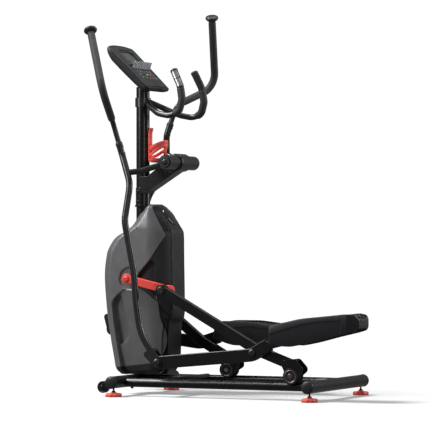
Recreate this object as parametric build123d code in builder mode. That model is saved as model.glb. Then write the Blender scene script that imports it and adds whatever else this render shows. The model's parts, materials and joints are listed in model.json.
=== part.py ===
"""Elliptical trainer with a front drive and rear rollers.

Millimetres. +X points to the rear, where the user steps on, +Y to the user's right and +Z up.
The origin is on the floor under the middle of the machine. The left side is the -Y side.
The two sides are mirror images, half a turn of the crank apart: at rest the left pedal is at the
rear of its stride and the right pedal is at the front.
"""
import os
from math import atan2, cos, degrees, hypot, radians, sin, sqrt

from build123d import *

os.makedirs("parts", exist_ok=True)

# Linkage
crank_radius = 204.0
crank_angle = -13.0  # left crank above the horizontal, at rest
leg_length = 688.0  # crank pin to roller axle
leg_pivot = 501.0  # crank pin to pedal arm pivot, along the leg
pedal_arm_length = 434.0  # swing arm pivot to leg pivot
swing_radius = 837.0  # swing axle to pedal arm
roller_height = 100.0  # roller axle above the floor

# Places along the machine, behind the mast, and heights
mast_x = -403.0
crank_back, crank_height = -15.0, 490.0
swing_back, swing_height = 172.0, 982.0
rear_stabilizer_back = 889.0
stabilizer_height = 60.6
cross_tube_back = 215.0
rail_height = 57.0
spine_height = 62.0

# Lateral places, measured from the middle plane
stabilizer_half = 300.0
foot_offset = 276.5
rail_offset = 190.0
housing_half = 100.0
crank_inner, crank_outer = 112.0, 132.0
leg_inner, leg_outer = 177.0, 203.0
arm_inner, arm_outer = 212.0, 240.0
hub_inner, hub_outer = 46.5, 138.0

# Sections
stabilizer_radius = 25.4
rail_radius = 19.0
mast_radius = 28.5
sleeve_radius = 31.0
sleeve_top = 876.0
mast_base, mast_top = 795.0, 1306.0
receiver_base, post_top = 640.0, 930.0
tube_wall = 2.5
tube_corner = 4.0
arm_radius = 14.0
brace_radius = 12.5
handlebar_radius = 11.0
grip_radius = 16.0
axle_radius = 12.5
crank_axle_radius = 10.0
crank_bar_height = 34.0
leg_height = 43.0
pedal_arm_height = 60.0
plate = 5.0

# Clearances
running = 0.05
gap = 0.5
skin = 3.0

# Drive
pulley_radius = 105.0
flywheel_back, flywheel_height = 45.0, 235.0
flywheel_radius = 100.0
small_pulley_radius = 17.5
belt_thickness = 3.0
belt_near, belt_far = 50.0, 64.0
brake_pivot_angle = 150.0
brake_pivot_radius = 118.0

# Console, in its own plane: x to the user's right, y up the face, z towards the user
console_width = 234.0
console_length = 274.0
console_back, console_height = -19.0, 1394.0
console_slope = 44.0


def at(back, height):
    """A point in the side view, from its distance behind the mast axis and its height."""
    return (mast_x + back, height)


def keep(builder, name):
    """Label a finished piece and write it."""
    builder.part.label = name
    export_step(builder.part, f"parts/{name}.step")


def circles_meet(first, first_radius, second, second_radius):
    """The crossing of two circles that lies to the front."""
    dx, dz = second[0] - first[0], second[1] - first[1]
    apart = hypot(dx, dz)
    along = (apart**2 + first_radius**2 - second_radius**2) / (2 * apart)
    across = sqrt(first_radius**2 - along**2)
    foot = (first[0] + dx * along / apart, first[1] + dz * along / apart)
    options = [
        (foot[0] + sign * dz * across / apart, foot[1] - sign * dx * across / apart)
        for sign in (1, -1)
    ]
    return min(options)


def linkage(angle):
    """Crank pin, roller axle, leg pivot and arm pivot for a crank at this angle, in degrees."""
    crank = at(crank_back, crank_height)
    swing = at(swing_back, swing_height)
    pin = (
        crank[0] + crank_radius * cos(radians(angle)),
        crank[1] + crank_radius * sin(radians(angle)),
    )
    drop = pin[1] - roller_height
    roller = (pin[0] + sqrt(leg_length**2 - drop**2), roller_height)
    share = leg_pivot / leg_length
    pivot = (pin[0] + (roller[0] - pin[0]) * share, pin[1] + (roller[1] - pin[1]) * share)
    return pin, roller, pivot, circles_meet(swing, swing_radius, pivot, pedal_arm_length)


def slope(start, end):
    """The angle of a line in the side view above the horizontal, in degrees."""
    return degrees(atan2(end[1] - start[1], end[0] - start[0]))


crank_point = at(crank_back, crank_height)
swing_point = at(swing_back, swing_height)
flywheel_point = at(flywheel_back, flywheel_height)
brake_pivot_point = (
    flywheel_point[0] + brake_pivot_radius * cos(radians(brake_pivot_angle)),
    flywheel_point[1] + brake_pivot_radius * sin(radians(brake_pivot_angle)),
)
pin, roller, leg_joint, arm_joint = linkage(crank_angle)
far_pin, far_roller, far_leg_joint, far_arm_joint = linkage(crank_angle + 180)

# How far the right side's pieces are turned from the left side's, about +Y
swing_turn = slope(swing_point, arm_joint) - slope(swing_point, far_arm_joint)
leg_turn = slope(pin, roller) - slope(far_pin, far_roller)
arm_turn = slope(arm_joint, leg_joint) - slope(far_arm_joint, far_leg_joint)


def place(local, from_point, to_point, turn, side):
    """Turn a piece drawn on the left at rest about its pivot, and put it on its own side."""
    with BuildPart() as drawn:
        with Locations((-from_point[0], 0, -from_point[1])):
            add(local.part)
    with BuildPart() as placed:
        with Locations((to_point[0], 0, to_point[1])):
            add(drawn.part, rotation=(0, turn, 0))
        if side == "right":
            mirror(about=Plane.XZ, mode=Mode.REPLACE)
    return placed


def tube(points, radii, outer, inner=0.0):
    """A round tube along straight runs joined by tangent arcs."""
    with BuildPart() as piece:
        with BuildLine() as path:
            if len(points) > 2:
                FilletPolyline(*points, radius=radii)
            else:
                Line(*points)
        with BuildSketch(Plane(origin=path.line @ 0, z_dir=path.line % 0)):
            Circle(outer)
            if inner:
                Circle(inner, mode=Mode.SUBTRACT)
        sweep(path=path.line)
    return piece


def cross_cylinder(point, start, end, radius, mode=Mode.ADD):
    """A cylinder along Y between two distances to the left of the middle plane."""
    with BuildSketch(Plane.XZ.offset(start)) as disc:
        with Locations(point):
            Circle(radius)
    extrude(disc.sketch, amount=end - start, mode=mode)


def hull_of_circles(circles):
    """The outline of a plate that wraps round some circles, given as (point, radius)."""
    for point, radius in circles:
        with Locations(point):
            Circle(radius)
    make_hull()


# Base frame -----------------------------------------------------------------------------------
def stabilizer(name, back, with_wheel_ears):
    """A floor tube with threaded holes for its feet, and at the front, ears for the wheels."""
    centre = at(back, stabilizer_height)
    wheel = at(back - 60, 39)
    wheel_gaps = ((234, 238), (264, 268))
    with BuildPart() as piece:
        cross_cylinder(centre, -stabilizer_half, stabilizer_half, stabilizer_radius)
        if with_wheel_ears:
            for near, far in wheel_gaps:
                with BuildSketch(Plane.XZ.offset(near)):
                    hull_of_circles([(centre, 18), (wheel, 11)])
                extrude(amount=far - near)
                with BuildSketch(Plane.XZ.offset(-near)):
                    hull_of_circles([(centre, 18), (wheel, 11)])
                extrude(amount=near - far)
            for side in (-1, 1):
                with BuildSketch(Plane.XZ.offset(side * 234)):
                    with Locations(wheel):
                        Circle(4)
                extrude(amount=side * 34)
        cross_cylinder(
            centre, -stabilizer_half, stabilizer_half, stabilizer_radius - tube_wall, Mode.SUBTRACT
        )
        with Locations((centre[0], -foot_offset, 40), (centre[0], foot_offset, 40)):
            Cylinder(4 + running, 30, mode=Mode.SUBTRACT)
    keep(piece, name)


def end_caps():
    """Four domed plugs for the ends of the floor tubes."""
    with BuildPart() as stabilizer_end_caps:
        for back in (1, rear_stabilizer_back):
            centre = at(back, stabilizer_height)
            for side in (-1, 1):
                end = Plane(
                    origin=(centre[0], side * stabilizer_half, centre[1]),
                    x_dir=(1, 0, 0),
                    z_dir=(0, side, 0),
                )
                with BuildSketch(end):
                    Circle(stabilizer_radius - tube_wall)
                extrude(amount=-16)
                with BuildSketch(end):
                    Circle(26.6)
                extrude(amount=10, taper=22)
    keep(stabilizer_end_caps, "stabilizer_end_caps")


def rail(name, side):
    """A straight round rail, coped to both floor tubes."""
    front = (mast_x + 1, side * rail_offset, rail_height)
    with BuildPart() as piece:
        with BuildSketch(Plane(origin=front, x_dir=(0, 1, 0), z_dir=(1, 0, 0))):
            Circle(rail_radius)
            Circle(rail_radius - tube_wall, mode=Mode.SUBTRACT)
        extrude(amount=rear_stabilizer_back - 1)
        for back in (1, rear_stabilizer_back):
            cross_cylinder(at(back, stabilizer_height), -240, 240, stabilizer_radius, Mode.SUBTRACT)
    keep(piece, name)


def main_frame():
    """Spine, cross tube, post, crank shell and drive plates, welded together."""
    plate_inner = 25.5
    with BuildPart() as frame:
        with BuildSketch(Plane.YZ.offset(mast_x)):
            with Locations((0, spine_height)):
                RectangleRounded(60, 40, 6)
        extrude(amount=cross_tube_back)
        cross_cylinder(at(cross_tube_back, spine_height), -rail_offset, rail_offset, 19)
        with BuildSketch(Plane.XY.offset(spine_height)):
            with Locations((mast_x, 0)):
                Circle(mast_radius - tube_wall - 0.1)
        extrude(amount=post_top - spine_height)
        with BuildSketch(Plane.XY.offset(receiver_base)):
            with Locations((mast_x, 0)):
                Circle(mast_radius)
        extrude(amount=mast_base - receiver_base)
        cross_cylinder(crank_point, -34, 34, 30)
        for side in (-1, 1):
            with BuildSketch(Plane.XZ.offset(side * plate_inner)):
                hull_of_circles(
                    [
                        (at(0, 190), 24),
                        (at(0, 340), 24),
                        (flywheel_point, 24),
                        (brake_pivot_point, 14),
                    ]
                )
            extrude(amount=side * plate)
        with BuildSketch(Plane.XZ.offset(plate_inner + plate)):
            with Locations(brake_pivot_point):
                Circle(5)
        extrude(amount=42)
        with BuildSketch(Plane.XY.offset(100)):
            with Locations((mast_x, 0)):
                Circle(mast_radius - tube_wall - 3)
        extrude(amount=340, mode=Mode.SUBTRACT)
        with BuildSketch(Plane.XY.offset(540)):
            with Locations((mast_x, 0)):
                Circle(mast_radius - tube_wall - 3)
        extrude(amount=390, mode=Mode.SUBTRACT)
        cross_cylinder(crank_point, -34, 34, 21, Mode.SUBTRACT)
        cross_cylinder(flywheel_point, -40, 40, 8 + running, Mode.SUBTRACT)
        cross_cylinder(at(1, stabilizer_height), -60, 60, stabilizer_radius, Mode.SUBTRACT)
        with BuildSketch(Plane.YZ.offset(mast_x)):
            with Locations((-rail_offset, rail_height), (rail_offset, rail_height)):
                Circle(rail_radius)
        extrude(amount=300, mode=Mode.SUBTRACT)
    keep(frame, "main_frame")


def frame_bolts():
    """Hexagon bolts: two pairs that clamp the mast and one under each rail."""
    with BuildPart() as bolts:
        for side in (-1, 1):
            for height in (818, 859):
                outward = Vector(-0.34, side * 0.94, 0).normalized()
                start = Vector(mast_x, 0, height) + outward * (sleeve_radius + 0.05)
                with BuildSketch(Plane(origin=start, z_dir=outward)):
                    RegularPolygon(6.5, 6)
                extrude(amount=6)
                with BuildSketch(Plane(origin=start, z_dir=outward)):
                    Circle(9)
                extrude(amount=1.6)
            with BuildSketch(Plane.XY.offset(rail_height - rail_radius)):
                with Locations((mast_x + 44, side * rail_offset)):
                    RegularPolygon(6.5, 6)
            extrude(amount=-6)
    keep(bolts, "frame_bolts")


def crank_bearings():
    """Two ball bearings, as plain rings, in the crank shell."""
    with BuildPart() as bearings:
        for start in (-34, 20):
            with BuildSketch(Plane.XZ.offset(start)):
                with Locations(crank_point):
                    Circle(21)
                    Circle(crank_axle_radius + running, mode=Mode.SUBTRACT)
            extrude(amount=14)
    keep(bearings, "crank_bearings")


# Mast and what it carries -----------------------------------------------------------------------
def mast():
    """The upright tube, with a clamp sleeve at its foot and a closed top."""
    collar_height = 9.0
    with BuildPart() as upright:
        for radius, top in (
            (sleeve_radius + 3, mast_base + collar_height),
            (sleeve_radius, sleeve_top),
            (mast_radius, mast_top),
        ):
            with BuildSketch(Plane.XY.offset(mast_base)):
                with Locations((mast_x, 0)):
                    Circle(radius)
            extrude(amount=top - mast_base)
        with BuildSketch(Plane.XY.offset(mast_base)):
            with Locations((mast_x, 0)):
                Circle(mast_radius - tube_wall)
        extrude(amount=mast_top - 4 - mast_base, mode=Mode.SUBTRACT)
        add(console_body(), mode=Mode.SUBTRACT)
    keep(upright, "mast")


def bracket_outline(extra=0.0):
    """The gusset's side view: a band from the back of the mast up to the swing axle."""
    hull_of_circles([(swing_point, 33 + extra), (at(22, 882), 27 + extra)])
    with Locations(at(21, 889)):
        Rectangle(34 + 2 * extra, 72 + 2 * extra)


def pivot_bracket():
    """Box gusset, wrapped round the mast, that carries the swing axle."""
    with BuildPart() as bracket:
        with BuildSketch(Plane.XZ):
            bracket_outline()
        extrude(amount=34, both=True)
        with BuildSketch(Plane.XZ):
            bracket_outline()
            offset(amount=-3.5, mode=Mode.REPLACE)
        extrude(amount=30.5, both=True, mode=Mode.SUBTRACT)
        for base, radius, height in ((800, sleeve_radius, sleeve_top - 800), (800, mast_radius, 200)):
            with BuildSketch(Plane.XY.offset(base)):
                with Locations((mast_x, 0)):
                    Circle(radius)
            extrude(amount=height, mode=Mode.SUBTRACT)
        with BuildSketch(Plane.YZ.offset(mast_x + 4)):
            with Locations((0, 890)):
                Rectangle(90, 100)
        extrude(amount=-60, mode=Mode.SUBTRACT)
        cross_cylinder(swing_point, -40, 40, axle_radius, Mode.SUBTRACT)
    keep(bracket, "pivot_bracket")


def swing_axle():
    """Fixed axle for both swing arms, with a retaining disc at each end."""
    with BuildPart() as axle:
        cross_cylinder(swing_point, -142, 142, axle_radius)
        for side in (-1, 1):
            with BuildSketch(Plane.XZ.offset(side * (hub_outer + gap))):
                with Locations(swing_point):
                    Circle(23)
            extrude(amount=side * 4.5)
        fillet(axle.edges().filter_by(GeomType.CIRCLE).group_by(Axis.Y)[0], 1.5)
        fillet(axle.edges().filter_by(GeomType.CIRCLE).group_by(Axis.Y)[-1], 1.5)
    keep(axle, "swing_axle")


def pivot_cover():
    """Plastic drum that hides the gusset's nose between the two hubs."""
    with BuildPart() as cover:
        cross_cylinder(swing_point, -45, 45, 38)
        fillet(cover.edges().filter_by(GeomType.CIRCLE), 6)
        cross_cylinder(swing_point, -40, 40, 34.5, Mode.SUBTRACT)
        cross_cylinder(swing_point, -46, 46, axle_radius, Mode.SUBTRACT)
        with BuildSketch(Plane.XZ):
            bracket_outline(0.3)
        extrude(amount=34.3, both=True, mode=Mode.SUBTRACT)
    keep(cover, "pivot_cover")


static_points = [
    (26, -10, 1242),
    (66, -62, 1218),
    (122, -104, 1188),
    (182, -115, 1176),
    (223, -111, 1193),
    (237, -108, 1244),
    (227, -105, 1302),
    (196, -100, 1366),
]
static_radii = [40, 60, 60, 34, 34, 60]
static_bar_radius = 12.5
sensor_radius = 15.5


def static_path():
    """Runs and arcs of the left fixed handlebar's centre line, from the mast to its tip."""
    with BuildLine() as path:
        FilletPolyline(*[(mast_x + x, y, z) for x, y, z in static_points], radius=static_radii)
    return path.wires()[0].order_edges()


def sleeve_on(edges, outer, inner):
    """A round sleeve on part of a bar's centre line."""
    with BuildPart() as piece:
        with BuildLine() as path:
            add(edges)
        line = path.line
        with BuildSketch(Plane(origin=line @ 0, z_dir=line % 0)):
            Circle(outer)
            if inner:
                Circle(inner, mode=Mode.SUBTRACT)
        sweep(path=line)
    return piece


def static_handlebar():
    """Both fixed handlebars on one collar round the mast."""
    bar = sleeve_on(static_path(), static_bar_radius, 0)
    with BuildPart() as handlebar:
        add(bar.part)
        mirror(about=Plane.XZ)
        with BuildSketch(Plane.XY.offset(1222)):
            with Locations((mast_x, 0)):
                Circle(mast_radius + 5)
        extrude(amount=38)
        with BuildSketch(Plane.XY.offset(1180)):
            with Locations((mast_x, 0)):
                Circle(mast_radius)
        extrude(amount=120, mode=Mode.SUBTRACT)
    keep(handlebar, "static_handlebar")


def static_sleeves(name, first, last, outer):
    """A pair of sleeves on the fixed handlebars, between two runs or arcs of the bar."""
    left = sleeve_on(static_path()[first:last], outer, static_bar_radius)
    with BuildPart() as sleeves:
        add(left.part)
        mirror(about=Plane.XZ)
    keep(sleeves, name)


# Console ----------------------------------------------------------------------------------------
console_plane = Plane(
    origin=(mast_x + console_back, 0, console_height),
    x_dir=(0, 1, 0),
    z_dir=(sin(radians(console_slope)), 0, cos(radians(console_slope))),
)
console_axis = Axis(console_plane.origin, console_plane.z_dir)
bezel_depth = 12.0
back_depth = 26.0
back_taper = 14


def console_outline(inset):
    """The console's face: a rounded shield, a little wider at the top."""
    half = console_width / 2 - inset
    top = console_length / 2 - inset
    with BuildLine() as edge:
        Polyline((-half + 12, -top), (half - 12, -top), (half, top - 30), (half, top - 12))
        ThreePointArc((half, top - 12), (0, top), (-half, top - 12))
        Polyline((-half, top - 12), (-half, top - 30), (-half + 12, -top))
    make_face(edge.edges())


def console_body():
    """The space that the back of the console fills, a tapered pan behind the bezel."""
    with BuildPart() as body:
        with BuildSketch(console_plane.offset(-bezel_depth - 0.01)):
            console_outline(0)
        extrude(amount=-back_depth, taper=back_taper)
    return body.part


def console_shells():
    """Front bezel and back pan, each a thin moulding."""
    with BuildPart() as console_back_shell:
        with BuildSketch(console_plane.offset(-bezel_depth)) as outline:
            console_outline(0)
            fillet(outline.vertices(), 9)
        extrude(amount=-back_depth, taper=back_taper)
        with BuildSketch(console_plane.offset(-bezel_depth)) as inner:
            console_outline(skin)
            fillet(inner.vertices(), 7)
        extrude(amount=-(back_depth - skin), taper=back_taper, mode=Mode.SUBTRACT)
    keep(console_back_shell, "console_back")

    with BuildPart() as front:
        with BuildSketch(console_plane.offset(-bezel_depth)) as outline:
            console_outline(0)
            fillet(outline.vertices(), 9)
        extrude(amount=bezel_depth)
        chamfer(front.faces().sort_by(console_axis)[-1].edges(), 2.5)
        with BuildSketch(console_plane.offset(-bezel_depth)) as inner:
            console_outline(skin)
            fillet(inner.vertices(), 7)
        extrude(amount=bezel_depth - 4, mode=Mode.SUBTRACT)
        with BuildSketch(console_plane):
            with Locations(display_centre):
                Rectangle(display_width, display_length)
            with Locations(*key_places.values()):
                Rectangle(key_width + 0.6, key_length + 0.6)
        extrude(amount=-10, mode=Mode.SUBTRACT)
    keep(front, "console_front")


display_centre = (0, 62)
display_width, display_length = 116.0, 62.0
key_width, key_length = 16.0, 9.0
key_places = {"program_key": (-30, -52), "start_key": (0, -52), "stop_key": (30, -52)}


def console_display():
    """The display lens, flush in its window."""
    with BuildPart() as lens:
        with BuildSketch(console_plane.offset(-4)):
            with Locations(display_centre):
                Rectangle(display_width, display_length)
        extrude(amount=3)
    keep(lens, "console_display")


def console_keys():
    """Push keys that stand 1.5 mm out of the bezel and travel 1 mm."""
    for name, (across, up) in key_places.items():
        with BuildPart() as key:
            with BuildSketch(console_plane.offset(-6)):
                with Locations((across, up)):
                    RectangleRounded(key_width, key_length, 2)
            extrude(amount=7.5)
            fillet(key.faces().sort_by(console_axis)[-1].edges(), 0.8)
        keep(key, name)


def media_rack():
    """A lipped ledge across the face that holds a tablet."""
    ledge_plane = Plane(
        origin=console_plane.origin, x_dir=console_plane.z_dir, z_dir=console_plane.x_dir
    )
    with BuildPart() as rack:
        with BuildSketch(ledge_plane.offset(-80)):
            with BuildLine():
                Polyline((0, -6), (26, 4), (26, 16), (22, 16), (22, 7), (0, -1), (0, -6))
            make_face()
        extrude(amount=160)
    keep(rack, "media_rack")


def bottle_cage():
    """Bottle holder on the back of the mast: two straps, two hoops and a floor."""
    hoop_back, hoop_outer, hoop_inner = 75.0, 40.0, 36.5
    with BuildPart() as cage:
        with Locations((mast_x + mast_radius + 4.2, 0, 1058)):
            Box(7, 30, 148)
            Box(9, 8, 152, mode=Mode.SUBTRACT)
        with Locations((mast_x + mast_radius + 4.2, 0, 1058)):
            Box(4, 30, 20)
        for height in (1016, 1056):
            with BuildSketch(Plane.XY.offset(height)):
                with Locations((mast_x + hoop_back, 0)):
                    Circle(hoop_outer)
                    Circle(hoop_inner, mode=Mode.SUBTRACT)
            extrude(amount=14)
        with BuildSketch(Plane.XY.offset(984)):
            with Locations((mast_x + hoop_back - 4, 0)):
                Circle(34)
        extrude(amount=4)
        with Locations((mast_x + hoop_back + hoop_inner + 1.7, 0, 1027)):
            Box(3.4, 16, 86)
        with Locations((mast_x + hoop_back + 32, 0, 986)):
            Box(14, 16, 4)
        with BuildSketch(Plane.XY.offset(980)):
            with Locations((mast_x, 0)):
                Circle(mast_radius + 0.3)
        extrude(amount=160, mode=Mode.SUBTRACT)
    keep(cage, "bottle_cage")


# Housing ----------------------------------------------------------------------------------------
housing_front, housing_rear = -153.0, 173.0  # plan view, behind the mast
taper_start, rear_half = 92.0, 62.0
front_corner = 48.0
housing_outline = [
    at(74, 806),
    at(115, 763),
    at(147, 720),
    at(168, 683),
    at(169, 590),
    at(172, 450),
    at(172, 375),
    at(158, 310),
    at(150, 92),
    at(-74, 86),
    at(-100, 111),
    at(-123, 242),
    at(-143, 384),
    at(-152, 504),
    at(-142, 593),
    at(-92, 671),
    at(-22, 713),
    at(11, 760),
]
side_panel = [
    at(74, 840),
    at(139.6, 683),
    at(84, 578),
    at(15, 503),
    at(52, 440),
    at(112, 393),
    at(128, 290),
    at(118, 139),
    at(-200, 95),
    at(-200, 840),
]
floor_region = [at(-200, 95), at(118, 139), at(200, 150), at(200, 60), at(-200, 60)]


def housing_form(inset):
    """The housing's outer form, or with an inset, the space inside it."""
    half = housing_half - inset
    with BuildPart() as form:
        with BuildSketch(Plane.XZ) as side:
            Polygon(*housing_outline, align=None)
            fillet(side.vertices(), 14)
            if inset:
                offset(amount=-inset, mode=Mode.REPLACE)
        extrude(amount=half, both=True)
        with BuildSketch(Plane.XY.offset(60)) as plan:
            with BuildLine():
                Polyline(
                    (mast_x + housing_front + inset, -half),
                    (mast_x + taper_start, -half),
                    (mast_x + housing_rear - inset, inset / 2 - rear_half),
                    (mast_x + housing_rear - inset, rear_half - inset / 2),
                    (mast_x + taper_start, half),
                    (mast_x + housing_front + inset, half),
                    close=True,
                )
            make_face()
            fillet(plan.vertices().group_by(Axis.X)[0], front_corner - inset)
            fillet(plan.vertices().group_by(Axis.X)[-1], 10)
        extrude(amount=800, mode=Mode.INTERSECT)
    return form.part


def housing():
    """Two painted side shells, a rear shroud and a floor tray, all thin mouldings."""
    with BuildPart() as wall:
        add(housing_form(0))
        add(housing_form(skin), mode=Mode.SUBTRACT)
        with BuildSketch(Plane.XY.offset(600)):
            with Locations((mast_x, 0)):
                Circle(35)
        extrude(amount=300, mode=Mode.SUBTRACT)
        with BuildSketch(Plane.YZ.offset(mast_x - 60)):
            with Locations((0, spine_height + 6)):
                Rectangle(64, 56)
        extrude(amount=300, mode=Mode.SUBTRACT)

    with BuildPart() as left_shell:
        add(wall.part)
        with BuildSketch(Plane.XZ):
            Polygon(*side_panel, align=None)
        extrude(amount=120, mode=Mode.INTERSECT)
        cross_cylinder(crank_point, 92, housing_half, 52)
        cross_cylinder(crank_point, 95, housing_half, 48, Mode.SUBTRACT)
        cross_cylinder(crank_point, 80, 120, 14, Mode.SUBTRACT)
        with BuildSketch(Plane.XZ):
            Polygon(*side_panel, align=None)
        extrude(amount=120, mode=Mode.INTERSECT)
    with BuildPart() as right_shell:
        add(left_shell.part)
        mirror(about=Plane.XZ, mode=Mode.REPLACE)
    with BuildPart() as rear_shroud:
        add(wall.part)
        with BuildSketch(Plane.XZ):
            Polygon(*side_panel, align=None)
            Polygon(*floor_region, align=None)
        extrude(amount=120, both=True, mode=Mode.SUBTRACT)
    with BuildPart() as lower_tray:
        add(wall.part)
        with BuildSketch(Plane.XZ):
            Polygon(*floor_region, align=None)
        extrude(amount=120, both=True, mode=Mode.INTERSECT)
    keep(left_shell, "housing_left_shell")
    keep(right_shell, "housing_right_shell")
    keep(rear_shroud, "rear_shroud")
    keep(lower_tray, "lower_tray")


# Drive ------------------------------------------------------------------------------------------
def crank_axle():
    """Solid axle through the crank shell."""
    with BuildPart() as axle:
        cross_cylinder(crank_point, -crank_outer, crank_outer, crank_axle_radius)
    keep(axle, "crank_axle")


def drive_pulley():
    """Large belt pulley with a hub on the crank axle and round lightening holes."""
    with BuildPart() as pulley:
        cross_cylinder(crank_point, -belt_far, -belt_near, pulley_radius)
        cross_cylinder(crank_point, -belt_far, -belt_far + 4, pulley_radius - 12, Mode.SUBTRACT)
        cross_cylinder(crank_point, -belt_near - 4, -belt_near, pulley_radius - 12, Mode.SUBTRACT)
        cross_cylinder(crank_point, -belt_far - 4, -belt_near + 10, 24)
        with BuildSketch(Plane.XZ.offset(-belt_far)):
            with Locations(crank_point):
                with PolarLocations(62, 6):
                    Circle(16)
        extrude(amount=belt_far - belt_near, mode=Mode.SUBTRACT)
        cross_cylinder(crank_point, -90, -30, crank_axle_radius, Mode.SUBTRACT)
    keep(pulley, "drive_pulley")


def crank(name, turn, side):
    """Crank arm with a stub pin that meets the face of the leg's bearing."""
    tip = linkage(0)[0]
    with BuildPart() as arm:
        with BuildSketch(Plane.XZ.offset(crank_inner)):
            with Locations(crank_point, tip):
                Circle(22)
            with Locations(((crank_point[0] + tip[0]) / 2, crank_height)):
                Rectangle(crank_radius, crank_bar_height)
        extrude(amount=crank_outer - crank_inner)
        fillet(arm.edges().filter_by(Axis.Y, reverse=True).group_by(Axis.Y)[0], 3)
        cross_cylinder(tip, crank_outer, leg_inner - 9 - gap, 13)
        cross_cylinder(crank_point, crank_inner, crank_outer, crank_axle_radius, Mode.SUBTRACT)
    keep(place(arm, crank_point, crank_point, turn, side), name)


def belt_outline(extra):
    """The belt's path round both pulleys, as a taut band."""
    hull_of_circles(
        [(crank_point, pulley_radius + extra), (flywheel_point, small_pulley_radius + extra)]
    )


def drive_belt():
    """Flat ribbed belt between the crank pulley and the flywheel pulley."""
    with BuildPart() as belt:
        with BuildSketch(Plane.XZ.offset(-belt_far + 1)):
            belt_outline(0.3 + belt_thickness)
        extrude(amount=belt_far - belt_near - 2)
        with BuildSketch(Plane.XZ.offset(-belt_far + 1)):
            belt_outline(0.3)
        extrude(amount=belt_far - belt_near - 2, mode=Mode.SUBTRACT)
    keep(belt, "drive_belt")


def flywheel():
    """Flywheel with a heavy rim, keyed to its shaft."""
    with BuildPart() as wheel:
        cross_cylinder(flywheel_point, 42, 62, flywheel_radius)
        cross_cylinder(flywheel_point, 42, 48, flywheel_radius - 24, Mode.SUBTRACT)
        cross_cylinder(flywheel_point, 56, 62, flywheel_radius - 24, Mode.SUBTRACT)
        cross_cylinder(flywheel_point, 38, 66, 20)
        cross_cylinder(flywheel_point, 30, 70, 8, Mode.SUBTRACT)
    keep(wheel, "flywheel")
    with BuildPart() as shaft:
        cross_cylinder(flywheel_point, -70, 70, 8)
        cross_cylinder(flywheel_point, -belt_far, -belt_near, small_pulley_radius)
    keep(shaft, "flywheel_shaft")


def magnet_brake():
    """Magnet carrier that straddles the flywheel's rim and tilts away from it."""
    rim = flywheel_radius
    with BuildPart() as carrier:
        with BuildSketch(Plane.XZ.offset(35)):
            with Locations(flywheel_point):
                Circle(rim + 9)
                Circle(rim - 14, mode=Mode.SUBTRACT)
            with BuildLine():
                reach = rim + 60
                Polyline(
                    flywheel_point,
                    (
                        flywheel_point[0] + reach * cos(radians(82)),
                        flywheel_point[1] + reach * sin(radians(82)),
                    ),
                    (
                        flywheel_point[0] + reach * cos(radians(138)),
                        flywheel_point[1] + reach * sin(radians(138)),
                    ),
                    flywheel_point,
                )
            make_face(mode=Mode.INTERSECT)
            with Locations(brake_pivot_point):
                Circle(11)
            with Locations(
                (
                    flywheel_point[0] + (rim + 9) * cos(radians(142)),
                    flywheel_point[1] + (rim + 9) * sin(radians(142)),
                )
            ):
                Rectangle(26, 16, rotation=52)
        extrude(amount=34)
        cross_cylinder(flywheel_point, 39, 65, rim + 5, Mode.SUBTRACT)
        cross_cylinder(brake_pivot_point, 30, 72, 5 + running, Mode.SUBTRACT)
    keep(carrier, "magnet_brake")


def brake_servo():
    """Gear motor on the post that sets the magnet carrier."""
    with BuildPart() as servo:
        with Locations((mast_x + 52, 0, 385)):
            Box(46, 40, 60)
        fillet(servo.edges().filter_by(Axis.Y), 6)
        with Locations((mast_x + 52, -26, 400)):
            Cylinder(9, 12, rotation=(90, 0, 0))
    keep(servo, "brake_servo")


# Rollers ----------------------------------------------------------------------------------------
roller_half = 22.0


def roller_wheel(name, point, side):
    """Grooved roller that runs on the round rail."""
    with BuildPart() as wheel:
        cross_cylinder(point, rail_offset - roller_half, rail_offset + roller_half, 34)
        fillet(wheel.edges().filter_by(GeomType.CIRCLE), 3)
        with BuildSketch(Plane.YZ.offset(point[0])):
            with Locations((-rail_offset, rail_height)):
                Circle(rail_radius + 0.3)
        revolve(
            axis=Axis((point[0], 0, point[1]), (0, 1, 0)),
            revolution_arc=360,
            mode=Mode.SUBTRACT,
        )
        cross_cylinder(point, 150, 230, 6 + running, Mode.SUBTRACT)
        if side == "right":
            mirror(about=Plane.XZ, mode=Mode.REPLACE)
    keep(wheel, name)


def roller_axle(name, point, side):
    """Shoulder bolt through the fork and the roller."""
    with BuildPart() as bolt:
        cross_cylinder(point, rail_offset - 32, rail_offset + 28.5, 6)
        cross_cylinder(point, rail_offset + 28.5, rail_offset + 33, 11)
        cross_cylinder(point, rail_offset - 35, rail_offset - 28.5, 10)
        if side == "right":
            mirror(about=Plane.XZ, mode=Mode.REPLACE)
    keep(bolt, name)


def between(start, end, share):
    """The point this share of the way from one side-view point to another."""
    return (start[0] + (end[0] - start[0]) * share, start[1] + (end[1] - start[1]) * share)


def swept_bar(points, radius, height, near, far, mode=Mode.ADD):
    """A flat-sided bar: a band of even height along a bent line, between two lateral planes."""
    with BuildSketch(Plane.XZ.offset(near)) as band:
        with BuildLine():
            if len(points) > 2:
                FilletPolyline(*points, radius=radius)
            else:
                Line(*points)
        trace(line_width=height)
    extrude(band.sketch, amount=far - near, mode=mode)


def round_sides(bar):
    """Round the edges of a bar's two flat sides."""
    layers = bar.edges().group_by(Axis.Y)
    fillet(layers[0] + layers[-1], tube_corner)


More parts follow.
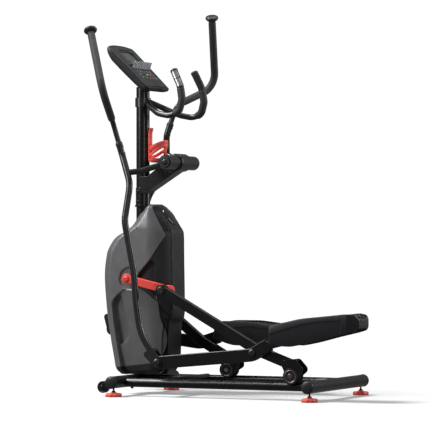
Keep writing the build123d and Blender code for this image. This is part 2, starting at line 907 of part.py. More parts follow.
def leg_piece(name, to_point, turn, side):
    """Leg from the crank pin to the roller fork: a bent box tube, a bearing boss and a fork."""
    bend, tail = at(628, 199), at(768, 148)
    fork_planes = (
        (rail_offset - roller_half - 1 - plate, rail_offset - roller_half - 1),
        (rail_offset + roller_half + 1, rail_offset + roller_half + 1 + plate),
    )
    with BuildPart() as bar:
        swept_bar([pin, bend, tail], 160, leg_height, leg_inner, leg_outer)
        round_sides(bar)
        swept_bar(
            [between(pin, bend, 0.1), bend, between(tail, bend, 0.2)],
            160,
            leg_height - 2 * tube_wall,
            leg_inner + tube_wall,
            leg_outer - tube_wall,
            Mode.SUBTRACT,
        )
        cross_cylinder(pin, leg_inner - 9, leg_outer + 1, 24)
        cross_cylinder(pin, leg_outer + 1, leg_outer + 4, 16)
        for near, far in fork_planes:
            with BuildSketch(Plane.XZ.offset(near)):
                hull_of_circles(
                    [(roller, 19), (at(750, 152), 13), (at(792, 153), 18), (at(815, 128), 18)]
                )
            extrude(amount=far - near)
        with BuildSketch(Plane.XZ.offset(fork_planes[0][0])):
            hull_of_circles([(at(752, 158), 8), (at(790, 162), 8)])
        extrude(amount=fork_planes[1][1] - fork_planes[0][0])
        cross_cylinder(
            roller,
            rail_offset - roller_half - 1,
            rail_offset + roller_half + 1,
            36,
            Mode.SUBTRACT,
        )
        cross_cylinder(roller, 150, 230, 6 + running, Mode.SUBTRACT)
    keep(place(bar, roller, to_point, turn, side), name)


# Pedal arms -------------------------------------------------------------------------------------
def pedal_arm(name, to_point, turn, side):
    """Box tube from the swing arm's pivot past the leg's pivot and up under the pedal."""
    bend, tail = at(612, 184), at(690, 229)
    height = pedal_arm_height - 6
    with BuildPart() as bar:
        swept_bar([arm_joint, bend, tail], 70, height, arm_inner, arm_outer)
        round_sides(bar)
        swept_bar(
            [between(arm_joint, bend, 0.1), between(arm_joint, bend, 0.9)],
            0,
            height - 2 * tube_wall,
            arm_inner + tube_wall,
            arm_outer - tube_wall,
            Mode.SUBTRACT,
        )
        cross_cylinder(arm_joint, arm_inner, arm_outer, height / 2)
        with BuildSketch(Plane.XZ.offset(arm_inner)):
            Polygon(at(676, 206), at(910, 262), at(910, 278), at(672, 240), align=None)
        extrude(amount=arm_outer - arm_inner)
        cross_cylinder(leg_joint, leg_outer + gap, arm_inner, 16)
        cross_cylinder(leg_joint, arm_outer, arm_outer + 4, 15)
        cross_cylinder(arm_joint, arm_inner - 1, arm_outer + 1, 8 + running, Mode.SUBTRACT)
    keep(place(bar, arm_joint, to_point, turn, side), name)


pedal_inner, pedal_outer = 121.0, 281.0
pedal_wall = 5.0
pedal_side = [
    at(703, 232),
    at(703, 300),
    at(731, 312),
    at(795, 326),
    at(853, 338),
    at(936, 348),
    at(1046, 358),
    at(1076, 352),
    at(1089, 296),
    at(1059, 284),
    at(967, 261),
    at(846, 231),
    at(795, 223),
]
pedal_floor = [at(703, 268), at(1100, 322)]


def pedal(name, to_point, turn, side):
    """Foot platform: a floor with a raised rim above it and a skirt below it."""
    floor_thickness = 4.0
    with BuildPart() as platform:
        with BuildSketch(Plane.XZ.offset(pedal_inner)):
            Polygon(*pedal_side, align=None)
        extrude(amount=pedal_outer - pedal_inner)
        with BuildSketch(Plane.XY.offset(200)) as plan:
            with BuildLine():
                Polyline(
                    (mast_x + 702, -pedal_inner),
                    (mast_x + 1090, -pedal_inner),
                    (mast_x + 1090, -pedal_outer + 44),
                    (mast_x + 1050, -pedal_outer),
                    (mast_x + 702, -pedal_outer),
                    close=True,
                )
            make_face()
            fillet(plan.vertices(), 14)
        extrude(amount=200, mode=Mode.INTERSECT)
        with BuildSketch(Plane.XZ.offset(pedal_inner + pedal_wall)):
            Polygon(
                (pedal_floor[0][0] + pedal_wall, pedal_floor[0][1]),
                (pedal_floor[0][0] + pedal_wall, 400),
                (mast_x + 1076, 400),
                (mast_x + 1076, pedal_floor[1][1] - 3),
                align=None,
            )
        extrude(amount=pedal_outer - pedal_inner - 2 * pedal_wall, mode=Mode.SUBTRACT)
        with BuildSketch(Plane.XZ.offset(pedal_inner + pedal_wall)):
            Polygon(
                (pedal_floor[0][0] - 1, 200),
                (pedal_floor[0][0] - 1, pedal_floor[0][1] - floor_thickness),
                (mast_x + 1070, pedal_floor[1][1] - 3 - floor_thickness),
                (mast_x + 1070, 200),
                align=None,
            )
        extrude(amount=pedal_outer - pedal_inner - 2 * pedal_wall, mode=Mode.SUBTRACT)
        with BuildSketch(Plane.XZ.offset(arm_inner - 12)):
            Polygon(at(840, 258), at(915, 272), at(915, 298), at(840, 290), align=None)
        extrude(amount=arm_outer - arm_inner + 24)
        with BuildSketch(Plane.XZ.offset(arm_inner - gap)):
            Polygon(at(660, 150), at(912, 200), at(912, 278.5), at(660, 241), align=None)
        extrude(amount=arm_outer - arm_inner + 2 * gap, mode=Mode.SUBTRACT)
    keep(place(platform, arm_joint, to_point, turn, side), name)


# Swing arms -------------------------------------------------------------------------------------
arm_line = [
    (156, -226, 184),
    (100, -226, 260),
    (79, -226, 400),
    (70, -226, 520),
    (26, -226, 736),
    (42, -205, 890),
    (-13, -168, 1010),
    (-26, -174, 1060),
]
arm_radii = [230, 300, 300, 140, 110, 80]
brace_line = [(21, -190, 938), (72, -168, 944), (156, -122, 974)]
handle_foot = 38.0  # the upper handlebar's length inside the lower tube
handle_bend = 86.0  # from the lower tube's end to the upper handlebar's first bend
handle_corner = (-7, -360, 1270)
handle_tip = (-122, -246, 1527)
handle_radii = [60, 75]


def in_place(points):
    """Route points, from behind-the-mast distances to the part's frame."""
    return [(mast_x + back, across, height) for back, across, height in points]


def swing_arm(name, turn, side):
    """Lower half of a swing arm: hub, brace, bent tube and the clevis for the pedal arm."""
    ear_planes = ((arm_inner - 5.5, arm_inner - 0.5), (arm_outer + 0.5, arm_outer + 5.5))
    bent = tube(in_place(arm_line), arm_radii, arm_radius, handlebar_radius + 0.2)
    brace = tube(in_place(brace_line), [40], brace_radius)
    with BuildPart() as arm:
        add(bent.part)
        add(brace.part)
        cross_cylinder(swing_point, hub_inner, hub_outer, 30)
        for near, far in ear_planes:
            with BuildSketch(Plane.XZ.offset(near)):
                hull_of_circles([(arm_joint, 21), (at(140, 178), 14), (at(162, 194), 10)])
            extrude(amount=far - near)
        with BuildSketch(Plane.XZ.offset(ear_planes[0][0])):
            hull_of_circles([(at(138, 179), 9), (at(162, 195), 8)])
        extrude(amount=ear_planes[1][1] - ear_planes[0][0])
        cross_cylinder(arm_joint, arm_inner - 0.5, arm_outer + 0.5, 31, Mode.SUBTRACT)
        cross_cylinder(arm_joint, ear_planes[0][0], ear_planes[1][1], 8)
        cross_cylinder(arm_joint, ear_planes[1][1], ear_planes[1][1] + 5, 15)
        cross_cylinder(swing_point, 40, 150, axle_radius + running, Mode.SUBTRACT)
        cross_cylinder(swing_point, hub_outer, 150, 32, Mode.SUBTRACT)
    keep(place(arm, swing_point, swing_point, turn, side), name)


def handlebar_line():
    """Upper handlebar's centre line; its foot lies on the swing arm's top run."""
    below, top = [Vector(*point) for point in in_place(arm_line)[-2:]]
    upward = (top - below).normalized()
    foot = top - upward * handle_foot
    bend = top + upward * handle_bend
    rest = in_place([handle_corner, handle_tip])
    with BuildLine() as path:
        FilletPolyline(foot, bend, *rest, radius=handle_radii)
    return path.wires()[0].order_edges()


def handlebar(name, turn, side):
    """Upper half of a swing arm: a thinner bent tube that plugs into the lower half."""
    bar = sleeve_on(handlebar_line(), handlebar_radius, 0)
    keep(place(bar, swing_point, swing_point, turn, side), name)


def hand_grip(name, turn, side):
    """Foam grip on the handlebar, from its lower bend to its tip."""
    grip = sleeve_on(handlebar_line()[2:], grip_radius, handlebar_radius)
    keep(place(grip, swing_point, swing_point, turn, side), name)


def handle_cap(name, turn, side):
    """Mushroom cap on the tip of the handlebar."""
    last = handlebar_line()[-1]
    with BuildPart() as dome:
        with BuildSketch(Plane.XZ):
            with BuildLine():
                Polyline((0, 0), (17, 0), (24, 4), (28, 11))
                ThreePointArc((28, 11), (24, 18), (12, 22))
                Polyline((12, 22), (0, 22), (0, 0))
            make_face()
        revolve(axis=Axis.Z)
    with BuildPart() as cap:
        with Locations(Plane(origin=last @ 1, z_dir=last % 1).location):
            add(dome.part)
    keep(place(cap, swing_point, swing_point, turn, side), name)


# Wheels and feet --------------------------------------------------------------------------------
def transport_wheel(name, side):
    """Small wheel ahead of the front floor tube."""
    wheel_point = at(1 - 60, 39)
    with BuildPart() as wheel:
        cross_cylinder(wheel_point, side * 239, side * 263, 25)
        fillet(wheel.edges().filter_by(GeomType.CIRCLE), 4)
        cross_cylinder(wheel_point, side * 230, side * 270, 4 + running, Mode.SUBTRACT)
    keep(wheel, name)


def leveling_foot(name, back, side):
    """Scalloped disc with a threaded stem."""
    lobes = 8
    with BuildPart() as foot:
        with BuildSketch():
            Circle(32)
            with PolarLocations(29, lobes):
                Circle(7)
        extrude(amount=9)
        chamfer(foot.faces().sort_by(Axis.Z)[-1].edges(), 1.5)
        with BuildSketch(Plane.XY.offset(9)):
            Circle(13)
        extrude(amount=7, taper=20)
        with BuildSketch(Plane.XY.offset(16)):
            Circle(4)
        extrude(amount=34)
    with BuildPart() as placed:
        with Locations((mast_x + back, side * foot_offset, 0)):
            add(foot.part)
    keep(placed, name)


# Build ------------------------------------------------------------------------------------------
stabilizer("front_stabilizer", 1, True)
stabilizer("rear_stabilizer", rear_stabilizer_back, False)
end_caps()
rail("left_rail", -1)
rail("right_rail", 1)
main_frame()
frame_bolts()
crank_bearings()
mast()
pivot_bracket()
swing_axle()
pivot_cover()
static_handlebar()
static_sleeves("static_grips", 6, 11, grip_radius)
static_sleeves("pulse_sensors", 11, 13, sensor_radius)
console_shells()
console_display()
console_keys()
media_rack()
bottle_cage()
housing()
crank_axle()
drive_pulley()
drive_belt()
flywheel()
magnet_brake()
brake_servo()
crank("left_crank", -crank_angle, "left")
crank("right_crank", -crank_angle + 180, "right")
for side, goal in (("left", linkage(crank_angle)), ("right", linkage(crank_angle + 180))):
    half_turn = 0 if side == "left" else 1
    pin_now, roller_now, leg_joint_now, arm_joint_now = goal
    roller_wheel(f"{side}_roller", roller_now, side)
    roller_axle(f"{side}_roller_axle", roller_now, side)
    leg_piece(f"{side}_leg", roller_now, half_turn * leg_turn, side)
    pedal_arm(f"{side}_pedal_arm", arm_joint_now, half_turn * arm_turn, side)
    pedal(f"{side}_pedal", arm_joint_now, half_turn * arm_turn, side)
    swing_arm(f"{side}_swing_arm", half_turn * swing_turn, side)
    handlebar(f"{side}_handlebar", half_turn * swing_turn, side)
    hand_grip(f"{side}_hand_grip", half_turn * swing_turn, side)
    handle_cap(f"{side}_handle_cap", half_turn * swing_turn, side)
    transport_wheel(f"{side}_transport_wheel", 1 if side == "left" else -1)
for end, back in (("front", 1), ("rear", rear_stabilizer_back)):
    leveling_foot(f"{end}_left_foot", back, -1)
    leveling_foot(f"{end}_right_foot", back, 1)
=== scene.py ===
import json
from math import atan2, cos, hypot, pi, radians, sin, sqrt, tan

import bmesh
import bpy
from mathutils import Matrix, Vector

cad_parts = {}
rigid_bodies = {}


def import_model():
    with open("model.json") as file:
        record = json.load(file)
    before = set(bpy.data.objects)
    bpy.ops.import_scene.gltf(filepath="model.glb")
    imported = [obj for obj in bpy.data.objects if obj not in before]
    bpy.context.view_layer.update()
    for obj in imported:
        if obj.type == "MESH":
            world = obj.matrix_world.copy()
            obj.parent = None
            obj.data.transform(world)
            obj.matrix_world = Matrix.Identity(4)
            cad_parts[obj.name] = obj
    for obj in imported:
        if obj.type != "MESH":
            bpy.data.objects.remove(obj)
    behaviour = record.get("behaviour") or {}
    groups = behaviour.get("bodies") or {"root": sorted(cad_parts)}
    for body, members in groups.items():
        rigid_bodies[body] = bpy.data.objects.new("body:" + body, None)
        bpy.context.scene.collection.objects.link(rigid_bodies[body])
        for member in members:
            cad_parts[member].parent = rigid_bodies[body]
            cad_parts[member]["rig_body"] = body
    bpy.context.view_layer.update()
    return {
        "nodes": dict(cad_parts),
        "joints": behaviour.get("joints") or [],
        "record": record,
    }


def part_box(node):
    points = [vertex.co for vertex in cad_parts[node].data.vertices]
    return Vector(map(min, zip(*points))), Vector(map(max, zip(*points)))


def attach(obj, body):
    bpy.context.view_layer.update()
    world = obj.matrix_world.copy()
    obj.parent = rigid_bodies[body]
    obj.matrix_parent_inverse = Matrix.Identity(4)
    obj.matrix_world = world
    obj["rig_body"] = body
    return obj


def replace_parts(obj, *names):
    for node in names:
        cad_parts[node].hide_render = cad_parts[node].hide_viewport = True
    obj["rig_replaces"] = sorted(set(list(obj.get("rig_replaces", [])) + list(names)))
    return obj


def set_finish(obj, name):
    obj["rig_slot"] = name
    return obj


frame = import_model()
nodes = frame["nodes"]
joint = {j["name"]: j for j in frame["joints"]}

# Places read from the frame, in metres
mast_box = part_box("mast")
MAST = (mast_box[0].x + mast_box[1].x) / 2
SWING = Vector(joint["left_swing"]["pos_m"])
CRANK = Vector(joint["crank_turn"]["pos_m"])
ARM_LEFT = Vector(joint["left_pedal_pivot"]["pos_m"])
ARM_RIGHT = Vector(joint["right_pedal_pivot"]["pos_m"])
ROLLER_LEFT = Vector(joint["left_roller_spin"]["pos_m"])
ROLLER_RIGHT = Vector(joint["right_roller_spin"]["pos_m"])
MM = 0.001
ACROSS, UP = Vector((0, 1, 0)), Vector((0, 0, 1))


def at(back, across, height):
    """A point given in millimetres: behind the mast axis, to the right of the middle, above the floor."""
    return Vector((MAST + back * MM, across * MM, height * MM))


# Camera, light, floor -----------------------------------------------------------------------
scene = bpy.context.scene
scene.view_settings.view_transform = "Standard"
CAMERA_ANGLE = radians(25)  # from square on to the left side, towards the rear
CAMERA_DISTANCE = 11.5164
CAMERA_HEIGHT = 0.6928
AIM_BEHIND_MAST = 0.339
camera_data = bpy.data.cameras.new("camera")
camera = bpy.data.objects.new("camera", camera_data)
scene.collection.objects.link(camera)
camera_data.sensor_width = 36
camera_data.lens = 228.75
camera_data.shift_y = 0.0371
camera_data.clip_end = 100
camera.location = (
    MAST + AIM_BEHIND_MAST + CAMERA_DISTANCE * sin(CAMERA_ANGLE),
    -CAMERA_DISTANCE * cos(CAMERA_ANGLE),
    CAMERA_HEIGHT,
)
camera.rotation_euler = (pi / 2, 0, CAMERA_ANGLE)
scene.camera = camera


def area_light(name, place, aim, width, height, power):
    """A rectangular lamp at a place, turned to face its aim."""
    data = bpy.data.lights.new(name, "AREA")
    data.shape = "RECTANGLE"
    data.size, data.size_y, data.energy = width, height, power
    light = bpy.data.objects.new(name, data)
    scene.collection.objects.link(light)
    light.location = place
    light.rotation_mode = "QUATERNION"
    light.rotation_quaternion = (Vector(aim) - Vector(place)).to_track_quat("-Z", "Y")


area_light("key", (-2.6, -2.8, 2.6), (0, 0, 0.8), 1.0, 2.6, 80)
area_light("top", (0.3, 0.2, 3.4), (0, 0, 0.6), 2.0, 1.4, 30)
area_light("rim", (2.8, 2.2, 2.0), (0, 0, 0.8), 0.9, 2.4, 60)
area_light("front", (3.4, -3.4, 1.4), (0, 0, 0.7), 0.7, 2.2, 16)
sky_data = bpy.data.lights.new("sky", "SUN")
sky_data.energy, sky_data.angle = 2.7, radians(24)
sky = bpy.data.objects.new("sky", sky_data)
scene.collection.objects.link(sky)
sky.rotation_euler = (radians(12), radians(-30), 0)


def link(tree, output, target):
    """Joins one node's output to another's input."""
    tree.links.new(output, target)


world = bpy.data.worlds.new("studio")
scene.world = world
world.use_nodes = True
tree = world.node_tree
tree.nodes.clear()
seen, lit = tree.nodes.new("ShaderNodeBackground"), tree.nodes.new("ShaderNodeBackground")
pick, result = tree.nodes.new("ShaderNodeMixShader"), tree.nodes.new("ShaderNodeOutputWorld")
path = tree.nodes.new("ShaderNodeLightPath")
seen.inputs["Color"].default_value = (1, 1, 1, 1)
seen.inputs["Strength"].default_value = 1.02
lit.inputs["Color"].default_value = (0.95, 0.97, 1, 1)
lit.inputs["Strength"].default_value = 0.16
link(tree, path.outputs["Is Camera Ray"], pick.inputs[0])
link(tree, lit.outputs[0], pick.inputs[1])
link(tree, seen.outputs[0], pick.inputs[2])
link(tree, pick.outputs[0], result.inputs[0])


# Materials ----------------------------------------------------------------------------------
def surface(
    name, color, rough, metallic=0.0, spec=0.5, coat=0.0, coat_rough=0.1, vary=0.15, vary_scale=14.0,
    rough_vary=0.08, grain=0.1, grain_scale=900.0, grain_depth=0.00015, wear=None, speckle=None, edge=0.0,
    transmission=0.0, sheen=0.0, stretch=(1, 1, 1),
):
    """A procedural finish: uneven colour and gloss, a fine grain, and wear on exposed edges."""
    made = bpy.data.materials.new(name)
    made.use_nodes = True
    tree = made.node_tree
    shader = tree.nodes["Principled BSDF"]
    own_values = {
        "Metallic": metallic, "Specular IOR Level": spec, "Coat Weight": coat, "Coat Roughness": coat_rough,
        "Transmission Weight": transmission, "Sheen Weight": sheen,
    }
    for socket, value in own_values.items():
        shader.inputs[socket].default_value = value

    def add(kind, inputs, **settings):
        """A new node. An input that is another node's output is linked; any other value is set."""
        node = tree.nodes.new(kind)
        for key, value in settings.items():
            setattr(node, key, value)
        for socket, value in inputs.items():
            if isinstance(value, bpy.types.NodeSocket):
                link(tree, value, node.inputs[socket])
            else:
                node.inputs[socket].default_value = value
        return node

    place = add("ShaderNodeTexCoord", {}).outputs["Object"]
    scaled = add("ShaderNodeMapping", {"Vector": place, "Scale": stretch}).outputs["Vector"]

    def noise(size, detail=4.0):
        return add("ShaderNodeTexNoise", {"Vector": scaled, "Scale": size, "Detail": detail}).outputs["Fac"]

    def ramp(source, low, high):
        """Maps the source from low's first value to low's second, and the same for high."""
        ends = {"From Min": low[0], "From Max": high[0], "To Min": low[1], "To Max": high[1]}
        return add("ShaderNodeMapRange", {"Value": source, **ends}).outputs["Result"]

    # Mix nodes carry several sockets of one name: pick the colour ones by index
    def blend_color(factor, first, second):
        return add("ShaderNodeMix", {0: factor, 6: first, 7: second}, data_type="RGBA").outputs[2]

    darker = (*(c * (1 - vary) for c in color), 1)
    lighter = (*(min(1.0, c * (1 + vary)) for c in color), 1)
    base = blend_color(ramp(noise(vary_scale), (0.3, 0), (0.7, 1)), darker, lighter)
    if speckle:
        size, amount, tint = speckle
        base = blend_color(ramp(noise(size, 2.0), (0.58, 0), (0.72, amount)), base, (*tint, 1))
    if wear:
        tint, start = wear
        exposed = add("ShaderNodeNewGeometry", {}).outputs["Pointiness"]
        mask = ramp(exposed, (start, 0), (start + 0.06, 0.8))
        broken = ramp(noise(60.0), (0.45, 0), (0.65, 1))
        product = add("ShaderNodeMath", {0: mask, 1: broken}, operation="MULTIPLY")
        base = blend_color(product.outputs[0], base, (*tint, 1))
    link(tree, base, shader.inputs["Base Color"])
    smoothest, roughest = max(0.02, rough - rough_vary), min(1, rough + rough_vary)
    gloss = ramp(noise(vary_scale * 2.3), (0.3, smoothest), (0.7, roughest))
    link(tree, gloss, shader.inputs["Roughness"])
    texture = {"Strength": grain, "Distance": grain_depth, "Height": noise(grain_scale, 3.0)}
    if edge:
        texture["Normal"] = add("ShaderNodeBevel", {"Radius": edge}, samples=8).outputs["Normal"]
    link(tree, add("ShaderNodeBump", texture).outputs["Normal"], shader.inputs["Normal"])
    return made


FINISH = {
    "black_steel": surface(
        "powder_black", (0.0035, 0.0037, 0.0042), 0.28, spec=0.35, coat=0.3, coat_rough=0.2,
        grain=0.03, grain_scale=200, grain_depth=0.00003, edge=0.0024, rough_vary=0.03,
    ),
    "gloss_steel": surface(
        "gloss_black", (0.010, 0.010, 0.011), 0.32, coat=0.5, coat_rough=0.22, grain=0.03,
        grain_scale=200, grain_depth=0.00003, rough_vary=0.03,
    ),
    "black_plastic": surface(
        "moulded_black", (0.019, 0.019, 0.0215), 0.36, grain=0.08, grain_scale=400,
        grain_depth=0.00008, edge=0.0016, rough_vary=0.05,
    ),
    "shell_grey": surface(
        "metallic_grey", (0.175, 0.175, 0.179), 0.38, metallic=0.35, coat=0.25,
        coat_rough=0.3, vary=0.05, speckle=(2200.0, 0.4, (0.32, 0.32, 0.33)), grain=0.3,
        grain_scale=1500,
    ),
    "red_paint": surface(
        "red_enamel", (0.95, 0.085, 0.06), 0.35, coat=0.4, coat_rough=0.2, vary=0.08,
        wear=((0.3, 0.03, 0.02), 0.6), edge=0.001,
    ),
    "red_plastic": surface(
        "red_moulding", (1.0, 0.13, 0.095), 0.42, vary=0.04, grain=0.1, grain_scale=600,
    ),
    "foam": surface(
        "foam_grip", (0.034, 0.035, 0.039), 0.6, spec=0.45, vary_scale=40, grain=0.6,
        grain_scale=1400, grain_depth=0.0003, sheen=0.1,
    ),
    "chrome": surface(
        "sensor_plate", (0.6, 0.59, 0.58), 0.34, metallic=1.0, vary=0.04, rough_vary=0.05,
        grain=0.02, grain_scale=900, stretch=(1, 1, 3),
    ),
    "bright_steel": surface(
        "zinc_steel", (0.42, 0.41, 0.40), 0.3, metallic=1.0, vary=0.12, rough_vary=0.1,
        grain=0.2, grain_scale=800, wear=((0.12, 0.1, 0.08), 0.6),
    ),
    "cast_iron": surface(
        "cast_iron", (0.08, 0.08, 0.083), 0.6, metallic=0.9, vary=0.2, grain=0.8,
        grain_scale=300, grain_depth=0.0005,
    ),
    "aluminium": surface("aluminium", (0.5, 0.5, 0.51), 0.35, metallic=1.0, grain=0.3, grain_scale=600),
    "belt_rubber": surface("belt_rubber", (0.01, 0.01, 0.01), 0.75, grain=0.8, grain_scale=400),
    "roller_urethane": surface(
        "urethane_tyre", (0.012, 0.012, 0.013), 0.5, vary=0.25, grain=0.5, grain_scale=420,
        wear=((0.05, 0.048, 0.045), 0.55),
    ),
    "pulley_plastic": surface("pulley_nylon", (0.02, 0.02, 0.022), 0.5, grain=0.4, grain_scale=500),
    "face_panel": surface(
        "console_face", (0.035, 0.035, 0.037), 0.5, spec=0.4, grain=0.35, grain_scale=900,
    ),
    "pan_plastic": surface(
        "textured_pan", (0.03, 0.029, 0.028), 0.62, spec=0.4, grain=1.0, grain_scale=420,
        grain_depth=0.0005,
    ),
    "printed_ink": surface("printed_ink", (0.5, 0.51, 0.54), 0.6, vary=0.1, grain=0.1),
    "lcd_slot": surface("slot_black", (0.004, 0.004, 0.004), 0.3, vary=0.1, grain=0.05),
    "badge_gloss": surface(
        "gloss_lens", (0.008, 0.008, 0.009), 0.2, coat=0.8, coat_rough=0.12, vary=0.05,
        rough_vary=0.03, grain=0.02,
    ),
    "hub_brown": surface(
        "bearing_steel", (0.20, 0.15, 0.12), 0.38, metallic=0.8, vary=0.25, grain=0.4,
        grain_scale=500, wear=((0.4, 0.36, 0.32), 0.56),
    ),
    "display_glass": surface(
        "lcd_window", (0.075, 0.095, 0.083), 0.16, coat=1.0, coat_rough=0.03, vary=0.12,
        vary_scale=30, rough_vary=0.03, grain=0.02,
    ),
    "clear_plastic": surface(
        "smoky_acrylic", (0.6, 0.62, 0.64), 0.2, transmission=0.55, coat=0.6, coat_rough=0.05,
        vary=0.05, rough_vary=0.05, grain=0.06,
    ),
    "green_key": surface("green_key", (0.33, 0.62, 0.02), 0.4, grain=0.3),
    "blue_key": surface("blue_key", (0.012, 0.04, 0.22), 0.4, grain=0.3),
}

slot_of = {part["node"]: part["material_slot"] for part in frame["record"]["subparts"]}
GLOSSY = (
    "static_handlebar", "left_swing_arm", "right_swing_arm", "left_handlebar", "right_handlebar",
    "swing_axle", "pivot_cover", "frame_bolts",
)
for name, thing in nodes.items():
    finish = "gloss_steel" if name in GLOSSY else slot_of[name]
    thing.data.materials.clear()
    thing.data.materials.append(FINISH[finish])

floor_mesh = bpy.data.meshes.new("floor")
floor_mesh.from_pydata([(-40, -40, 0), (40, -40, 0), (40, 60, 0), (-40, 60, 0)], [], [(0, 1, 2, 3)])
floor = bpy.data.objects.new("floor", floor_mesh)
scene.collection.objects.link(floor)
paper = surface("paper_sweep", (0.95, 0.95, 0.95), 0.8, vary=0.01, vary_scale=0.5, grain=0.05)
glow = paper.node_tree.nodes["Principled BSDF"]
glow.inputs["Emission Color"].default_value = (1, 1, 1, 1)
glow.inputs["Emission Strength"].default_value = 0.27
floor_mesh.materials.append(paper)
floor.visible_diffuse = False
floor.visible_glossy = False

# The lamps shape the machine; the floor takes only the soft overhead light and its shadow
off_floor = bpy.data.collections.new("off_floor")
off_floor.objects.link(floor)
off_floor.collection_objects[0].light_linking.link_state = "EXCLUDE"
for lamp in [thing for thing in scene.objects if thing.type == "LIGHT" and thing.data.type == "AREA"]:
    lamp.light_linking.receiver_collection = off_floor


# Building pieces ----------------------------------------------------------------------------
# Finishes with no material slot of their own, and the slot each one stands for
SLOT = {
    "gloss_steel": "black_steel", "hub_brown": "bright_steel", "badge_gloss": "black_plastic",
    "pan_plastic": "black_plastic", "face_panel": "black_plastic", "printed_ink": "black_plastic",
    "lcd_slot": "black_plastic",
}


def place_mesh(name, mesh, finish, body, replaces=(), slot=None, weld=0.0, sharp=35, bevel=0.0, solid=0.0):
    """An object made of a mesh: cleaned, smoothed between sharp edges, finished, and set on its body."""
    made = bpy.data.objects.new(name, mesh)
    scene.collection.objects.link(made)
    work = bmesh.new()
    work.from_mesh(mesh)
    if weld:
        bmesh.ops.remove_doubles(work, verts=work.verts, dist=weld)
    bmesh.ops.recalc_face_normals(work, faces=work.faces)
    work.to_mesh(mesh)
    work.free()
    mesh.shade_smooth()
    mesh.set_sharp_from_angle(angle=radians(sharp))
    mesh.materials.append(FINISH[finish])
    if solid:
        wall = made.modifiers.new("wall", "SOLIDIFY")
        wall.thickness, wall.offset = solid, -1
    if bevel:
        soft = made.modifiers.new("edges", "BEVEL")
        soft.width, soft.segments, soft.limit_method = bevel, 3, "ANGLE"
        soft.angle_limit = radians(40)
        soft.harden_normals = True
    if replaces:
        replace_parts(made, *replaces)
    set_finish(made, slot or SLOT.get(finish, finish))
    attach(made, body)
    return made


def piece(name, points, faces, finish, body, **options):
    """A piece from its points and faces."""
    mesh = bpy.data.meshes.new(name)
    mesh.from_pydata([tuple(p) for p in points], [], faces)
    return place_mesh(name, mesh, finish, body, **options)


def ring_faces(rows, columns):
    """Quads between rings of points."""
    faces = []
    for row in range(rows - 1):
        for column in range(columns):
            here, ahead = row * columns + column, row * columns + (column + 1) % columns
            faces.append((here, ahead, ahead + columns, here + columns))
    return faces


def loft(name, rings, finish, body, caps=True, **options):
    """A closed skin through rings of the same number of points."""
    count = len(rings[0])
    faces = ring_faces(len(rings), count)
    if caps:
        faces.append(tuple(reversed(range(count))))
        faces.append(tuple((len(rings) - 1) * count + i for i in range(count)))
    return piece(name, [p for ring in rings for p in ring], faces, finish, body, **options)


def frame_for(direction):
    """Two unit vectors square to a direction."""
    side = Vector((0, 1, 0)) if abs(direction.y) < 0.9 else Vector((1, 0, 0))
    first = direction.cross(side).normalized()
    return first, direction.cross(first).normalized()


def lathe(name, base, direction, profile, finish, body, segments=48, lobes=None, **options):
    """A turned piece: (radius, height) pairs in millimetres about an axis.

    lobes scallops the rim: how many, how deep, and the radius beyond which they start."""
    axis = Vector(direction).normalized()
    first, second = frame_for(axis)
    rings = []
    for radius, height in profile:
        ring = []
        for i in range(segments):
            turn = 2 * pi * i / segments
            reach = radius
            if lobes and radius > lobes[2]:
                reach -= lobes[1] * (0.5 - 0.5 * cos(lobes[0] * turn))
            spoke = first * cos(turn) + second * sin(turn)
            ring.append(Vector(base) + axis * (height * MM) + spoke * (reach * MM))
        rings.append(ring)
    return loft(name, rings, finish, body, **options)


def rounded_path(points, radii, step):
    """Straight runs joined by tangent arcs, as points a step apart.

    Also gives the length at the end of each run and arc in turn."""
    corners = [Vector(p) for p in points]
    route, ends, gone = [corners[0]], [], 0.0
    for i, radius in enumerate(radii):
        here = corners[i + 1]
        back = (corners[i] - here).normalized()
        ahead = (corners[i + 2] - here).normalized()
        half = back.angle(ahead) / 2
        reach = radius * MM / tan(half)
        centre = here + (back + ahead).normalized() * (radius * MM / sin(half))
        start, end = here + back * reach - centre, here + ahead * reach - centre
        whole = start.angle(end)
        straight = (centre + start - route[-1]).length
        ends += [gone + straight, gone + straight + radius * MM * whole]
        gone = ends[-1]
        parts = max(3, int(whole * radius * MM / step))
        for k in range(parts + 1):
            share = k / parts
            along = start * sin((1 - share) * whole) + end * sin(share * whole)
            route.append(centre + along / sin(whole))
    ends.append(gone + (corners[-1] - route[-1]).length)
    route.append(corners[-1])
    dense = [route[0]]
    for point in route[1:]:
        gap = (point - dense[-1]).length
        parts = max(1, int(gap / step))
        first = dense[-1].copy()
        for k in range(1, parts + 1):
            dense.append(first + (point - first) * (k / parts))
    return dense, ends


def cut_path(path, start, end):
    """The part of a path from one length to another, in metres from its first point."""
    kept, gone = [], 0.0
    for first, second in zip(path, path[1:]):
        gap = (second - first).length
        if gone + gap > start and not kept:
            kept.append(first + (second - first) * ((start - gone) / gap))
        if start < gone + gap < end:
            kept.append(second)
        if gone < end <= gone + gap:
            kept.append(first + (second - first) * ((end - gone) / gap))
            break
        gone += gap
    return kept


def path_length(path):
    """The length of a path, in metres."""
    return sum((b - a).length for a, b in zip(path, path[1:]))


def path_frames(path):
    """A point, direction and two unit vectors at each point, carried along without twist."""
    frames, first = [], None
    for i, point in enumerate(path):
        ahead = path[min(i + 1, len(path) - 1)] - path[max(i - 1, 0)]
        direction = ahead.normalized()
        if first is None:
            first = frame_for(direction)[0]
        first = (first - direction * first.dot(direction)).normalized()
        frames.append((point, direction, first, direction.cross(first)))
    return frames


